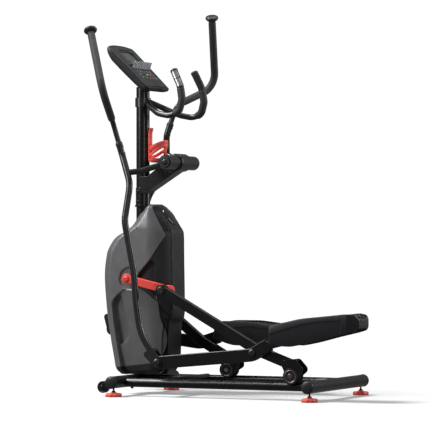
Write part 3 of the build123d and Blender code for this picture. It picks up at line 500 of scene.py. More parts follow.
def sweep(name, path, radius_at, finish, body, segments=28, **options):
    """A round bar along a path. radius_at gives millimetres from the share of the length."""
    rings, total, gone, before = [], path_length(path), 0.0, path[0]
    turns = [2 * pi * k / segments for k in range(segments)]
    for point, _, first, second in path_frames(path):
        gone += (point - before).length
        before = point
        radius = radius_at(gone / total) * MM
        rings.append([point + (first * cos(turn) + second * sin(turn)) * radius for turn in turns])
    return loft(name, rings, finish, body, **options)


def mirrored(made):
    """A left piece's twin on the right side's node and body, standing as that body stands at rest."""
    body = made["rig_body"].replace("left", "right")
    replaced = [node.replace("left", "right") for node in made.get("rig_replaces", ())]
    copy = made.copy()
    copy.data = made.data.copy()
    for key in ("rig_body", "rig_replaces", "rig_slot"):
        if key in copy:
            del copy[key]
    copy.name = copy.data.name = made.name.replace("left", "right")
    scene.collection.objects.link(copy)
    copy.parent = None
    copy.matrix_world = Matrix.Identity(4)
    copy.data.transform(Matrix.Diagonal((1, -1, 1, 1)))
    if body in right_at_rest:
        copy.data.transform(right_at_rest[body])
    copy.data.flip_normals()
    if replaced:
        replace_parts(copy, *replaced)
    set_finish(copy, made["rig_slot"])
    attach(copy, body)
    return copy


def smooth(value):
    """0 below nought, 1 above one, and an even S between them."""
    value = max(0.0, min(1.0, value))
    return value * value * (3 - 2 * value)


def table(rows):
    """A smooth curve through (input, output) rows that never overshoots them."""
    slopes = [(b[1] - a[1]) / (b[0] - a[0]) for a, b in zip(rows, rows[1:])]
    tangents = [slopes[0]]
    for low, high in zip(slopes, slopes[1:]):
        tangents.append(0.0 if low * high <= 0 else 2 * low * high / (low + high))
    tangents.append(slopes[-1])

    def read(value):
        if value <= rows[0][0]:
            return rows[0][1]
        for i in range(len(rows) - 1):
            if value <= rows[i + 1][0]:
                width = rows[i + 1][0] - rows[i][0]
                t = (value - rows[i][0]) / width
                rise = (2 * t**3 - 3 * t**2 + 1) * rows[i][1] + (-2 * t**3 + 3 * t**2) * rows[i + 1][1]
                return rise + width * ((t**3 - 2 * t**2 + t) * tangents[i] + (t**3 - t**2) * tangents[i + 1])
        return rows[-1][1]

    return read


def inside(polygon, x, z):
    """Whether a side-view point lies in a polygon."""
    found = False
    for (x1, z1), (x2, z2) in zip(polygon, polygon[1:] + polygon[:1]):
        if (z1 > z) != (z2 > z) and x < (x2 - x1) * (z - z1) / (z2 - z1) + x1:
            found = not found
    return found


def edge_distance(polygon, x, z):
    """Distance from a side-view point to a polygon's outline."""
    best = 1e9
    for (x1, z1), (x2, z2) in zip(polygon, polygon[1:] + polygon[:1]):
        run = (x2 - x1) ** 2 + (z2 - z1) ** 2
        t = max(0.0, min(1.0, ((x - x1) * (x2 - x1) + (z - z1) * (z2 - z1)) / run))
        best = min(best, hypot(x - x1 - t * (x2 - x1), z - z1 - t * (z2 - z1)))
    return best


# How each right body stands at rest against its mirrored left one, from the pivots of both sides
ARM_TURN = radians(12.3943)
LEG_TURN = radians(9.3028)


def swing_slope(point):
    """The slope of the line from the swing axle to a point, seen from the side."""
    return atan2(point.z - SWING.z, point.x - SWING.x)


def turned(start, end, angle):
    """Turns about a level axis across the machine, and carries the pivot at start to end."""
    there, back = Matrix.Translation((end.x, 0, end.z)), Matrix.Translation((-start.x, 0, -start.z))
    return there @ Matrix.Rotation(angle, 4, "Y") @ back


right_at_rest = {
    "right_swing_arm": turned(SWING, SWING, swing_slope(ARM_LEFT) - swing_slope(ARM_RIGHT)),
    "right_pedal_arm": turned(ARM_LEFT, ARM_RIGHT, ARM_TURN),
    "right_leg": turned(ROLLER_LEFT, ROLLER_RIGHT, LEG_TURN),
}


# Housing ------------------------------------------------------------------------------------
# Side-view places are (behind the mast, above the floor); tables run (height, value). All millimetres.
TAPER_START = 60.0  # behind this the sides draw in towards the narrow rear face
FRONT_CORNER, REAR_CORNER = 48.0, 4.0
FLANK_TOP = 470.0
SHELL_GAP = 0.35  # from the middle to each shell's joint face
SCOOP_DEPTH, SCOOP_LOW, SCOOP_HIGH = 18.0, 212, 433
CRANK_HOLLOW_DEPTH, DEEP_PANEL_DEPTH, LOWER_PANEL_DEPTH = 7.0, 16.0, 9.0
front_edge = table(
    [(86, -76), (98, -90), (111, -98), (152, -106), (242, -123), (384, -143), (504, -151), (593, -141),
     (650, -112), (671, -90), (690, -55), (713, -22), (720, -15), (760, 11), (780, 36), (795, 47),
     (806, 62)]
)
rear_edge = table(
    [(86, 108), (104, 132), (140, 150), (300, 156), (330, 168), (375, 172), (590, 169), (683, 168),
     (720, 150), (763, 124), (785, 106), (798, 92), (806, 70)]
)
half_width = table(
    [(86, 94), (104, 99.5), (700, 99.5), (740, 94), (770, 87), (790, 79), (800, 70), (806, 56)]
)
rear_width = table([(86, 62), (650, 62), (683, 60), (720, 55), (763, 46), (790, 40), (806, 34)])
shell_outline = [
    (76, 830), (77, 793), (145, 676), (84, 578), (15, 503), (24, 455), (52, 440), (112, 393),
    (118, 330), (128, 290), (122, 250), (118, 139), (-220, 98), (-220, 830),
]
floor_line = [(-220, 98), (118, 139), (220, 151)]
scoop_left = table([(212, -74), (359, -96), (391, -94), (433, -58)])
scoop_right = table([(212, -74), (216, -48), (232, -30), (254, -22), (367, -42), (433, -58)])
flank_line = table([(100, -118), (150, -90), (212, -73), (391, -94), (466, -16)])
crank_hollow = (-15, 490, 48)
deep_panel = [(20, 500), (85, 572), (104, 556), (103, 470), (108, 400), (56, 444), (28, 458)]
lower_panel = [(112, 393), (118, 330), (128, 290), (122, 141), (230, 155), (230, 318), (168, 330), (140, 352)]


def side_depth(x, z, is_shell):
    """How far the side's surface lies inside the flat flank."""
    depth = 0.0
    if z < FLANK_TOP:
        below = FLANK_TOP - z
        depth += smooth((x - flank_line(z)) / 5.0) * smooth(below / 12) * (3.0 + below * 0.05)
    if SCOOP_LOW < z < SCOOP_HIGH:
        left = scoop_left(z)
        width = scoop_right(z) - left
        if width > 0.5 and x > left - 3:
            t = (x - left) / width
            fall = smooth((x - left + 2) / 5.0) * max(0.0, 1 - t * t) ** 0.8
            depth += SCOOP_DEPTH * fall * min(1.0, width / 34.0)
    from_crank = hypot(x - crank_hollow[0], z - crank_hollow[1])
    depth = max(depth, CRANK_HOLLOW_DEPTH * smooth((crank_hollow[2] + 3 - from_crank) / 6.0))
    if not is_shell:
        if inside(deep_panel, x, z):
            depth += DEEP_PANEL_DEPTH * smooth(edge_distance(deep_panel, x, z) / 9.0)
        if inside(lower_panel, x, z):
            depth += LOWER_PANEL_DEPTH * smooth(edge_distance(lower_panel, x, z) / 7.0)
    return depth


def flank_half_width(x, z):
    """Half the housing's width at a side-view place, before any hollow."""
    half, rear = half_width(z), rear_edge(z) - REAR_CORNER
    bend = min(TAPER_START, rear - 4)
    return half - (half - min(half - 2, rear_width(z))) * max(0.0, (x - bend) / (rear - bend)) ** 2


def plan_section(z):
    """Half a level section of the housing, from the front middle to the rear middle: (x, y, on_side)."""
    front, rear, half = front_edge(z), rear_edge(z), half_width(z)
    corner = min(FRONT_CORNER, (rear - front) * 0.4)
    rear_half = min(half - 2, rear_width(z))
    points = [(front, -(half - corner) * i / 8, False) for i in range(8)]
    for i in range(14):
        turn = pi / 2 * i / 14
        points.append((front + corner * (1 - cos(turn)), -(half - corner) - corner * sin(turn), False))
    for i in range(120):
        x = front + corner + (rear - REAR_CORNER - front - corner) * i / 120
        points.append((x, -flank_half_width(x, z), True))
    for i in range(5):
        turn = pi / 2 * i / 5
        x = rear - REAR_CORNER * (1 - sin(turn))
        points.append((x, -rear_half + REAR_CORNER * (1 - cos(turn)), False))
    points += [(rear, -(rear_half - REAR_CORNER) * (1 - i / 8), False) for i in range(9)]
    return points


def side_view(face):
    """Where a face of the housing lies in the side view."""
    centre = face.calc_center_median()
    return (centre.x - MAST) / MM, centre.z / MM


def housing_half(is_shell):
    """The left half of the housing's skin as a bmesh, split along every panel line."""
    heights = [86 + 3.4 * i for i in range(206)] + [788, 791, 794, 797, 800, 802.5, 804.5, 806]
    work = bmesh.new()
    rows = []
    for z in heights:
        row = []
        for x, y, on_side in plan_section(z):
            inward = side_depth(x, z, is_shell) if on_side else 0.0
            row.append(work.verts.new(at(x, y + inward, z)))
        rows.append(row)
    for low, high in zip(rows, rows[1:]):
        for corners in zip(low, low[1:], high[1:], high):
            work.faces.new(corners)
    work.faces.new(rows[0])
    work.faces.new(list(reversed(rows[-1])))
    for line in list(zip(shell_outline, shell_outline[1:])) + list(zip(floor_line, floor_line[1:])):
        (x1, z1), (x2, z2) = line
        if x1 < -200 and x2 < -200 or z1 > 800 and z2 > 800:
            continue
        near = [face for face in work.faces if edge_distance(list(line), *side_view(face)) < 14]
        parts = set(near)
        for face in near:
            parts.update(face.edges)
            parts.update(face.verts)
        normal = Vector((z1 - z2, 0, x2 - x1)).normalized()
        bmesh.ops.bisect_plane(work, geom=list(parts), plane_co=at(x1, 0, z1), plane_no=normal, dist=1e-6)
    return work


def region_of(x, z):
    """Which moulding a side-view place belongs to."""
    floor_height = 98 + (x + 220) * 41 / 340 if x < 120 else 139 + (x - 120) * 0.12
    if z < floor_height:
        return "tray"
    return "shell" if inside(shell_outline, x, z) else "shroud"


def housing_piece(name, region, inset, finish, replaces):
    """One moulding cut from the housing's skin. The shell is a left half; the others span both sides."""
    is_shell = region == "shell"
    work = housing_half(is_shell)
    gone = [face for face in work.faces if region_of(*side_view(face)) != region]
    bmesh.ops.delete(work, geom=gone, context="FACES")
    work.normal_update()
    if inset:
        outward = sum(v.normal.dot(v.co - at(20, 0, 450)) for v in work.verts)
        inward = -inset * MM if outward > 0 else inset * MM
        for v in work.verts:
            v.co += v.normal * inward
            if abs(v.co.y) < 2 * MM:
                v.co.y = 0
    if is_shell:
        for v in work.verts:
            v.co.y = min(v.co.y, -SHELL_GAP * MM)
    else:
        copy = bmesh.ops.duplicate(work, geom=work.verts[:] + work.edges[:] + work.faces[:])
        for part in copy["geom"]:
            if isinstance(part, bmesh.types.BMVert):
                part.co.y = -part.co.y
        bmesh.ops.remove_doubles(work, verts=work.verts, dist=0.0002)
    mesh = bpy.data.meshes.new(name)
    work.to_mesh(mesh)
    work.free()
    soft = 0.0007 if is_shell else 0.0
    return place_mesh(name, mesh, finish, "frame", replaces, solid=0.0025, sharp=50, bevel=soft)


mirrored(housing_piece("side_shell_left", "shell", 0.0, "shell_grey", ["housing_left_shell"]))
housing_piece("shroud", "shroud", 1.6, "black_plastic", ["rear_shroud"])
housing_piece("tray", "tray", 1.2, "black_plastic", ["lower_tray"])


# Foot platforms -----------------------------------------------------------------------------
rim_height = table(
    [(703, 300), (731, 311), (795, 326), (853, 338), (936, 347), (1003, 354), (1046, 358),
     (1074, 353), (1089, 336)]
)
underside = table(
    [(703, 231), (795, 223), (846, 231), (967, 261), (1059, 284), (1076, 290), (1089, 306)]
)
crease = table([(703, 271), (785, 295), (887, 321), (987, 331), (1023, 332), (1089, 334)])
PEDAL_NEAR, PEDAL_FAR = -281.0, -121.0
PEDAL_FRONT = 703


def pedal_ring(back):
    """The platform's closed cross section at one distance behind the mast."""
    top, low, fold = rim_height(back), underside(back), crease(back)
    front_ease = 14 - sqrt(max(0.0, 14**2 - max(0.0, 717 - back) ** 2))
    rear_ease = 16 - sqrt(max(0.0, 16**2 - min(16.0, max(0.0, back - 1073)) ** 2))
    near = PEDAL_NEAR + front_ease + max(0.0, back - 1050) * 1.1
    far = PEDAL_FAR - front_ease - rear_ease
    at_end = max(smooth((709 - back) / 3), smooth((back - 1076) / 8))
    floor_height = 268 + (back - PEDAL_FRONT) * 0.136
    floor_height += (top - 3 - floor_height) * at_end
    tread = 1.3 * (1 if (back % 12) < 5 else 0) * (1 - at_end)
    hollow = max(low, floor_height - 5)
    hollow += (low - hollow) * max(at_end, smooth((715 - back) / 8))
    inset = 3.5 * (1 - smooth((back - 1020) / 9)) * smooth((back - PEDAL_FRONT) / 4)
    lip = 7.5 - 1.2 * (1 if (back % 16) < 11 else 0) * (1 - at_end)
    # One side wall, up the outside and down the inside: (distance in from the side, height)
    wall = [
        (inset + 2, low), (inset, low + 3), (inset, max(low + 4, fold - 4)), (0, max(low + 6, fold)),
        (0, top - 4), (1.2, top - 1.2), (3.5, top), (6, top - 0.6), (7.5, top - 3), (lip, top - 4.5),
        (lip, top - 9), (8, max(floor_height + 1, top - 11)), (9, min(top - 3, floor_height + 6)),
        (14, floor_height + 0.4),
    ]
    points = [(near + inward, height) for inward, height in wall]
    for i in range(25):
        groove = tread if 0 < i < 24 else 0.0
        points.append((near + 18 + (far - near - 36) * i / 24, floor_height + groove))
    points += [(far - inward, height) for inward, height in reversed(wall)]
    points += [(far - inset - 6, low), (far - inset - 8, hollow)]
    points += [(near + inset + 8, hollow), (near + inset + 6, low)]
    return [at(back, y, z) for y, z in points]


stations = [703, 703.8, 705, 706.5, 708, 709.5, 711, 713.5, 716, 718, 721]
stations += [724 + 2 * i for i in range(175)] + [1074, 1076, 1078, 1080, 1082, 1084, 1086, 1088, 1089]
pedal_rings = [pedal_ring(back) for back in stations]
mirrored(
    loft(
        "left_foot_platform", pedal_rings, "black_plastic", "left_pedal_arm", replaces=["left_pedal"],
        sharp=38,
    )
)


# Moving handlebars --------------------------------------------------------------------------
arm_below, arm_top = at(-13, -168, 1010), at(-26, -174, 1060)
upward = (arm_top - arm_below).normalized()
bar_points = [arm_top - upward * 0.038, arm_top + upward * 0.086, at(-7, -360, 1270), at(-122, -246, 1527)]
bar_path, bar_ends = rounded_path(bar_points, [60, 75], 0.005)


def foam_radius(share):
    """A soft sleeve: a little fuller in the middle, drawn in at both ends."""
    ends = min(1.0, 0.55 + min(share, 1 - share) * 26)
    return 12.2 + 3.9 * ends + 0.25 * sin(pi * share)


grip_path = cut_path(bar_path, bar_ends[1] + 0.004, path_length(bar_path) - 0.001)
left_grip = sweep("left_foam", grip_path, foam_radius, "foam", "left_swing_arm", replaces=["left_hand_grip"])
mirrored(left_grip)
tip_direction = (bar_path[-1] - bar_path[-2]).normalized()
cap_profile = [
    (0.5, -1), (15.5, -1), (17, 0), (20.5, 1.4), (24, 4), (27, 7.8), (28.2, 11), (27.8, 14), (26, 17.4),
    (22.5, 20), (17, 21.6), (10, 22.4), (0.5, 22.8),
]
mirrored(
    lathe(
        "left_mushroom_cap", bar_path[-1], tip_direction, cap_profile, "black_plastic", "left_swing_arm",
        replaces=["left_handle_cap"],
    )
)


def collar_radius(share):
    """A cast collar that tapers down to the tube at its top."""
    return 15.2 - 2.6 * smooth((share - 0.55) / 0.45)


collar_path = [arm_top + upward * (k * 0.002) for k in range(-5, 5)]
mirrored(sweep("left_arm_collar", collar_path, collar_radius, "black_plastic", "left_swing_arm"))
screw_profile = [(0.3, -1), (4.2, -1), (4.6, 0), (4.6, 1.2), (3.6, 2.4), (2.0, 3.0), (1.6, 2.2), (0.3, 2.0)]
for number, height in enumerate((0.0, -0.030)):
    seat = arm_top + upward * (height - 0.012) + Vector((0.0136, 0, 0))
    screw = lathe(
        f"left_arm_screw_{number}", seat, (1, 0, 0.05), screw_profile, "badge_gloss", "left_swing_arm",
        segments=24, slot="black_steel",
    )
    mirrored(screw)


# Fixed handlebars ---------------------------------------------------------------------------
fixed_points = [
    at(26, -10, 1242), at(66, -62, 1218), at(122, -104, 1188), at(182, -115, 1176),
    at(223, -111, 1193), at(237, -108, 1244), at(227, -105, 1302), at(196, -100, 1366),
]
fixed_path, fixed_ends = rounded_path(fixed_points, [40, 60, 60, 34, 34, 60], 0.004)
foam_run = cut_path(fixed_path, fixed_ends[5], fixed_ends[10])
sensor_run = cut_path(fixed_path, fixed_ends[10] + 0.001, path_length(fixed_path))


def sensor_plate(name, path):
    """A thin curved metal plate on the outward side of the bar."""
    rings = []
    outward = Vector((0.35, -1, 0.1)).normalized()
    for i, (point, direction, _, _) in enumerate(path_frames(path)):
        face = (outward - direction * outward.dot(direction)).normalized()
        side = direction.cross(face)
        from_end = min(i, len(path) - 1 - i)
        reach = radians(54) * (1 if from_end > 1 else 0.86 if from_end else 0.7)
        turns = [reach * (2 * k / 16 - 1) for k in range(17)]
        ring = [point + (face * cos(a) + side * sin(a)) * (16.0 * MM) for a in turns]
        ring += [point + (face * cos(a) + side * sin(a)) * (14.9 * MM) for a in reversed(turns)]
        rings.append(ring)
    return loft(name, rings, "chrome", "frame", sharp=45)


def sleeve_radius(share):
    """The sensor's sleeve, drawn in only at its very end."""
    return 15.4 - 1.5 * smooth((share - 0.97) / 0.03)


left_foam = sweep("fixed_foam_left", foam_run, foam_radius, "foam", "frame", replaces=["static_grips"])
mirrored(left_foam)
sleeve = sweep(
    "sensor_sleeve_left", sensor_run, sleeve_radius, "black_plastic", "frame", replaces=["pulse_sensors"]
)
mirrored(sleeve)
sensor_length = path_length(sensor_run)
for number, (start, end) in enumerate(((0.06, 0.49), (0.53, 0.95))):
    covered = cut_path(sensor_run, start * sensor_length, end * sensor_length)
    mirrored(sensor_plate(f"sensor_plate_left_{number}", covered))
tip = (sensor_run[-1] - sensor_run[-2]).normalized()
end_profile = [(0.4, -3), (15.6, -3), (16.2, -1.5), (16.2, 2), (14.6, 5.5), (10.5, 8), (5, 9.2), (0.4, 9.5)]
mirrored(lathe("sensor_cap_left", sensor_run[-1], tip, end_profile, "black_plastic", "frame"))


# Console ------------------------------------------------------------------------------------
SLOPE = radians(44)
console_base = at(-19, 0, 1394)
face_up = Vector((-cos(SLOPE), 0, sin(SLOPE)))
face_out = Vector((sin(SLOPE), 0, cos(SLOPE)))


def on_console(across, up, out):
    """A point in the console's own plane, in millimetres."""
    return console_base + ACROSS * (across * MM) + face_up * (up * MM) + face_out * (out * MM)


def rounded_outline(corners, count):
    """Points spaced evenly round a polygon with rounded corners, given as (x, y, radius)."""
    dense = []
    for i, (x, y, radius) in enumerate(corners):
        here = Vector((x, y))
        back = Vector(corners[i - 1][:2]) - here
        ahead = Vector(corners[(i + 1) % len(corners)][:2]) - here
        reach = min(radius, back.length * 0.49, ahead.length * 0.49)
        start, end = here + back.normalized() * reach, here + ahead.normalized() * reach
        for k in range(9):
            t = k / 8
            dense.append(start * (1 - t) ** 2 + here * 2 * t * (1 - t) + end * t**2)
    lengths = [0.0]
    for a, b in zip(dense, dense[1:] + dense[:1]):
        lengths.append(lengths[-1] + (b - a).length)
    ring, place = [], 0
    for k in range(count):
        goal = lengths[-1] * k / count
        while lengths[place + 1] < goal:
            place += 1
        share = (goal - lengths[place]) / max(1e-9, lengths[place + 1] - lengths[place])
        ring.append(dense[place].lerp(dense[(place + 1) % len(dense)], share))
    return ring


shield = rounded_outline(
    [(-105, -137, 16), (105, -137, 16), (117, 104, 14), (113, 124, 18), (60, 135, 32), (0, 137, 60),
     (-60, 135, 32), (-113, 124, 18), (-117, 104, 14)],
    144,
)


def inset_ring(ring, inset):
    """The ring moved inwards along its own normals."""
    moved = []
    for i, point in enumerate(ring):
        along = ring[(i + 1) % len(ring)] - ring[i - 1]
        moved.append(point + Vector((-along.y, along.x)).normalized() * inset)
    return moved


def console_rings(outline, steps):
    """Rings of an outline on the console, each from an (inset, out) pair."""
    return [[on_console(p.x, p.y, out) for p in inset_ring(outline, inset)] for inset, out in steps]


def rounded_rectangle(centre, size, radius, count):
    """Points spaced evenly round a rectangle with rounded corners."""
    signs = ((-1, -1), (1, -1), (1, 1), (-1, 1))
    corners = [(centre[0] + x * size[0] / 2, centre[1] + y * size[1] / 2, radius) for x, y in signs]
    return rounded_outline(corners, count)


pan_depth = table([(-137, 20), (-122, 33), (-95, 40), (0, 42), (70, 41), (105, 32), (125, 21), (137, 15)])
pan_rings = []
for shrink, share in (
    (0.012, -0.05), (0.012, 0.06), (0.02, 0.3), (0.045, 0.58), (0.085, 0.78), (0.15, 0.92), (0.25, 0.985),
    (0.4, 1.0), (0.6, 1.0), (0.8, 1.0), (0.97, 1.0),
):
    ring = []
    for p in shield:
        x, y = p.x * (1 - shrink), p.y * (1 - shrink * 0.8)
        ring.append(on_console(x, y, -12 - share * (pan_depth(y) - 12)))
    pan_rings.append(ring)
loft(
    "console_pan", pan_rings, "pan_plastic", "frame", replaces=["console_back"], sharp=40
)
bezel_steps = [
    (4, -12.6), (1.5, -12.4), (0, -11.2), (0, -6), (0.6, -3.4), (2.2, -1.3), (5, -0.3), (9, 0),
    (11, -0.6), (11.6, -2.4), (14, -2.8),
]
loft(
    "console_bezel", console_rings(shield, bezel_steps), "black_plastic", "frame",
    replaces=["console_front"], sharp=40,
)


def matched(ring, centre, goal):
    """The ring re-ordered to start where it points the same way from its centre as the goal does."""
    aim = atan2(goal.y - centre.y, goal.x - centre.x)
    turns = [abs((atan2(p.y - centre.y, p.x - centre.x) - aim + pi) % (2 * pi) - pi) for p in ring]
    first = turns.index(min(turns))
    return ring[first:] + ring[:first]


WINDOW = Vector((0, 62))
window = rounded_rectangle(WINDOW, (116, 62), 5, 144)
window = matched(window, WINDOW, inset_ring(shield, 12.5)[0])
face_rings = console_rings(shield, [(12.5, -3), (12.6, 0.2), (13.4, 0.9)])
for share in (0.15, 0.3, 0.45, 0.6, 0.75, 0.9):
    face_rings.append([on_console(*a.lerp(b, share), 0.9) for a, b in zip(inset_ring(shield, 13.4), window)])
face_rings += [[on_console(p.x, p.y, out) for p in window] for out in (0.9, -3.2)]
loft("console_face", face_rings, "face_panel", "frame", caps=False, sharp=30)


def tile(name, centre, size, radius, low, high, finish, body="frame", **options):
    """A small raised shape on the console's face with rounded corners and softened edges."""
    ring = rounded_rectangle(centre, size, radius, 40)
    soft = min(0.8, (high - low) * 0.4, radius * 0.5)
    rings = console_rings(ring, [(0, low), (0, high - soft), (soft * 0.35, high - soft * 0.3), (soft, high)])
    middle = Vector(centre)
    rings.append([on_console(*(p.lerp(middle, 0.5)), high + 0.1) for p in inset_ring(ring, soft)])
    return loft(name, rings, finish, body, sharp=40, **options)


tile(
    "display_window", WINDOW, (115.6, 61.6), 5, -4, -1.6, "display_glass", replaces=["console_display"]
)
tile("display_brow", (2, 103), (104, 8), 3.5, 0.4, 1.6, "lcd_slot")
SIDE_KEY, START_KEY = (15.6, 8.6), (17, 10)
for name, across, size, finish in (
    ("program_key", -30, SIDE_KEY, "blue_key"), ("start_key", 0, START_KEY, "green_key"),
    ("stop_key", 30, SIDE_KEY, "red_plastic"),
):
    tile(f"{name}_top", (across, -52), size, 3, -4, 2.6, finish, body=name, replaces=[name])

# Printed keys: a thin raised line round each
printed = [(x, y) for y in (-33, -71) for x in (-60, -30, 0, 30, 60)] + [(-60, -52), (60, -52)]
key_steps = [(0, 0.85), (0, 1.15), (0.9, 1.15), (0.9, 0.85)]
for number, centre in enumerate(printed):
    key_line = console_rings(rounded_rectangle(centre, (17, 8.5), 3, 36), key_steps)
    loft(f"printed_key_{number}", key_line, "printed_ink", "frame", caps=False, sharp=40)

# Ledge: a bent translucent sheet, closed at its edges
ledge_profile = [
    (0.8, 8.5), (9, 6.8), (18, 4.6), (27, 1.8), (29, -0.4), (27, -2.6), (16, -7), (7, -11.5),
    (0.8, -15), (0.8, -12.8), (6.4, -9.4), (15, -5.2), (25, -1.4), (26, -0.4), (25, 0.4), (17.5, 2.4),
    (9, 4.6), (0.8, 6.3),
]
ledge_rings = []
for across in (-84, -83.4, -82, -60, -30, 0, 30, 60, 82, 83.4, 84):
    ease = 1 - 0.06 * smooth((abs(across) - 81) / 3)
    ledge_rings.append([on_console(across, up, out * ease) for out, up in ledge_profile])
loft("media_ledge", ledge_rings, "clear_plastic", "frame", replaces=["media_rack"], sharp=50)


# Bottle cage --------------------------------------------------------------------------------
CAGE_BACK = 76


def strap(name, path, wide, thick, flat_toward, closed=False, **options):
    """A flat red band with softened edges along a path; its broad face looks along flat_toward(point)."""
    w, t, r = wide / 2 * MM, thick / 2 * MM, min(thick, wide) * 0.3 * MM
    section = [
        (w - r, t), (-w + r, t), (-w + r * 0.3, t - r * 0.3), (-w, t - r), (-w, -t + r),
        (-w + r * 0.3, -t + r * 0.3), (-w + r, -t), (w - r, -t), (w - r * 0.3, -t + r * 0.3),
        (w, -t + r), (w, t - r), (w - r * 0.3, t - r * 0.3),
    ]
    rings = []
    for point, direction, _, _ in path_frames(path):
        face = flat_toward(point)
        face = (face - direction * face.dot(direction)).normalized()
        side = direction.cross(face)
        rings.append([point + side * a + face * b for a, b in section])
    if closed:
        rings[-1] = rings[0]
        options["weld"] = 0.00005
    return loft(name, rings, "red_plastic", "frame", caps=not closed, **options)


def strip_back(height):
    """How far behind the mast a strip stands: it bends out at both ends."""
    return 35 + 4 * smooth((height - 1000) / -20) + 5 * (1 - smooth((1132 - height) / 26))


for number, across in enumerate((-8.5, 8.5)):
    strip = [at(strip_back(height), across, height) for height in range(988, 1133, 4)]
    strap(f"cage_strip_{number}", strip, 13, 6.5, lambda point: Vector((1, 0, 0)), replaces=["bottle_cage"])


def hoop(height, radius, tilt):
    """A ring round the bottle, tilted up towards its far side."""
    made = []
    for k in range(65):
        turn = 2 * pi * k / 64
        x, y = radius * cos(turn), radius * sin(turn)
        made.append(at(CAGE_BACK + x, y, height + x * tan(radians(tilt))))
    return made


def outward_from_cage(point):
    """The level direction from the cage's middle to a point."""
    return Vector((point.x - at(CAGE_BACK, 0, 0).x, point.y, 0))


for number, (height, tilt, wide) in enumerate(((1056, 22, 15), (1032, 34, 13))):
    strap(f"cage_hoop_{number}", hoop(height, 38, tilt), wide, 3.4, outward_from_cage, closed=True)
strut = [at(112, 0, 1066), at(110, 0, 1036), at(104, 0, 1006), at(92, 0, 990), at(76, 0, 986)]
strut_path, _ = rounded_path(strut, [20, 20, 14], 0.004)
strap("cage_strut", strut_path, 14, 3.2, outward_from_cage)
cup_profile = [
    (0.5, 0), (26, 0), (31, 1.2), (34.5, 5), (36, 12), (36.4, 18), (34.4, 18), (33.4, 12), (31, 6),
    (25, 3.6), (0.5, 3.4),
]
lathe("cage_cup", at(72, 0, 984), UP, cup_profile, "red_plastic", "frame")


# Feet, end caps, wheels ---------------------------------------------------------------------
FOOT_LOBES = (8, 3.2, 26)  # see lathe
SIDES = (("left", -1), ("right", 1))
pad_profile = [
    (0.5, 0), (32.5, 0), (34.8, 1), (35.6, 2.8), (35.6, 9.5), (34.6, 12.4), (32, 14.6), (27, 15.8),
    (16, 16.4), (13, 17.2), (12, 18.6), (9, 19.4), (0.5, 19.6),
]
threads = [(3.2 if k % 2 else 4.1, 16 + k * 0.6) for k in range(17, 50)]
stem_profile = [(0.4, 10), (6.4, 16), (6.4, 25.2), (5.6, 26)] + threads + [(3.4, 47), (0.4, 47.2)]
nut_profile = [(4, 17.5), (8.6, 17.5), (9.6, 18.6), (9.6, 22.4), (8.6, 23.5), (4, 23.5)]
for node in ("front_left_foot", "front_right_foot", "rear_left_foot", "rear_right_foot"):
    low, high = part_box(node)
    base = Vector(((low.x + high.x) / 2, (low.y + high.y) / 2, 0))
    lathe(
        f"{node}_pad", base, UP, pad_profile, "red_plastic", node, segments=96, lobes=FOOT_LOBES,
        replaces=[node],
    )
    lathe(f"{node}_stem", base, UP, stem_profile, "black_steel", node, segments=20, replaces=[node])
    lathe(f"{node}_nut", base, UP, nut_profile, "black_steel", node, segments=6, sharp=25)

dome_profile = [
    (0.5, -14), (21, -14), (22.4, -1), (26.4, -0.6), (26.8, 1.2), (26.2, 4), (24, 7), (19, 9.2),
    (11, 10.3), (0.5, 10.8),
]
for end, back in (("front", 1), ("rear", 889)):
    for side, sign in SIDES:
        lathe(
            f"{end}_{side}_end_cap", at(back, sign * 300, 60.6), (0, sign, 0), dome_profile, "black_plastic",
            "frame", replaces=["stabilizer_end_caps"],
        )


def two_sided(half, middle=()):
    """A profile that is the same on both sides of the wheel's middle."""
    return half + list(middle) + [(radius, -height) for radius, height in reversed(half)]


# The tyre's tread is hollowed to fit the round rail
tread = [(min(34.0, 43.0 - sqrt(19.3**2 - k**2)), k) for k in range(-18, 19, 2)]
tyre_profile = two_sided([(25, -20), (28, -22), (32.5, -22), (33.6, -21), (34, -19.4)], tread)
ring_profile = two_sided([(6.2, -20.5), (10, -20.5), (12, -18.5), (22, -18), (24, -20.4), (25.4, -20.6)])
hub_profile = [(6.2, 18.2), (19, 18.2), (19.6, 19.2), (18.4, 20.2), (12, 20.6), (6.2, 20.8)]
head_profile = [
    (0.4, 28.4), (11.6, 28.4), (12, 29.2), (12, 31.6), (11, 33.6), (8.4, 35), (5.2, 35.4), (4.6, 33.6),
    (0.4, 33.4),
]
shield_profile = [
    (6.5, 28.1), (31.5, 28.1), (32.8, 28.8), (33, 30), (32.2, 31.4), (28, 32), (26.5, 31), (22, 30.6),
    (6.5, 30.4),
]
shield_ring = [(25.8, 30.4), (25.6, 32.2), (24.6, 32.6), (23.6, 32.2), (23.4, 30.4)]
shank_profile = [(0.4, -32), (6, -32), (6, 28.5), (0.4, 28.5)]
tail_profile = [(0.4, -30.4), (9.6, -30.4), (10, -31), (10, -33.6), (8.8, -35), (0.4, -35.2)]
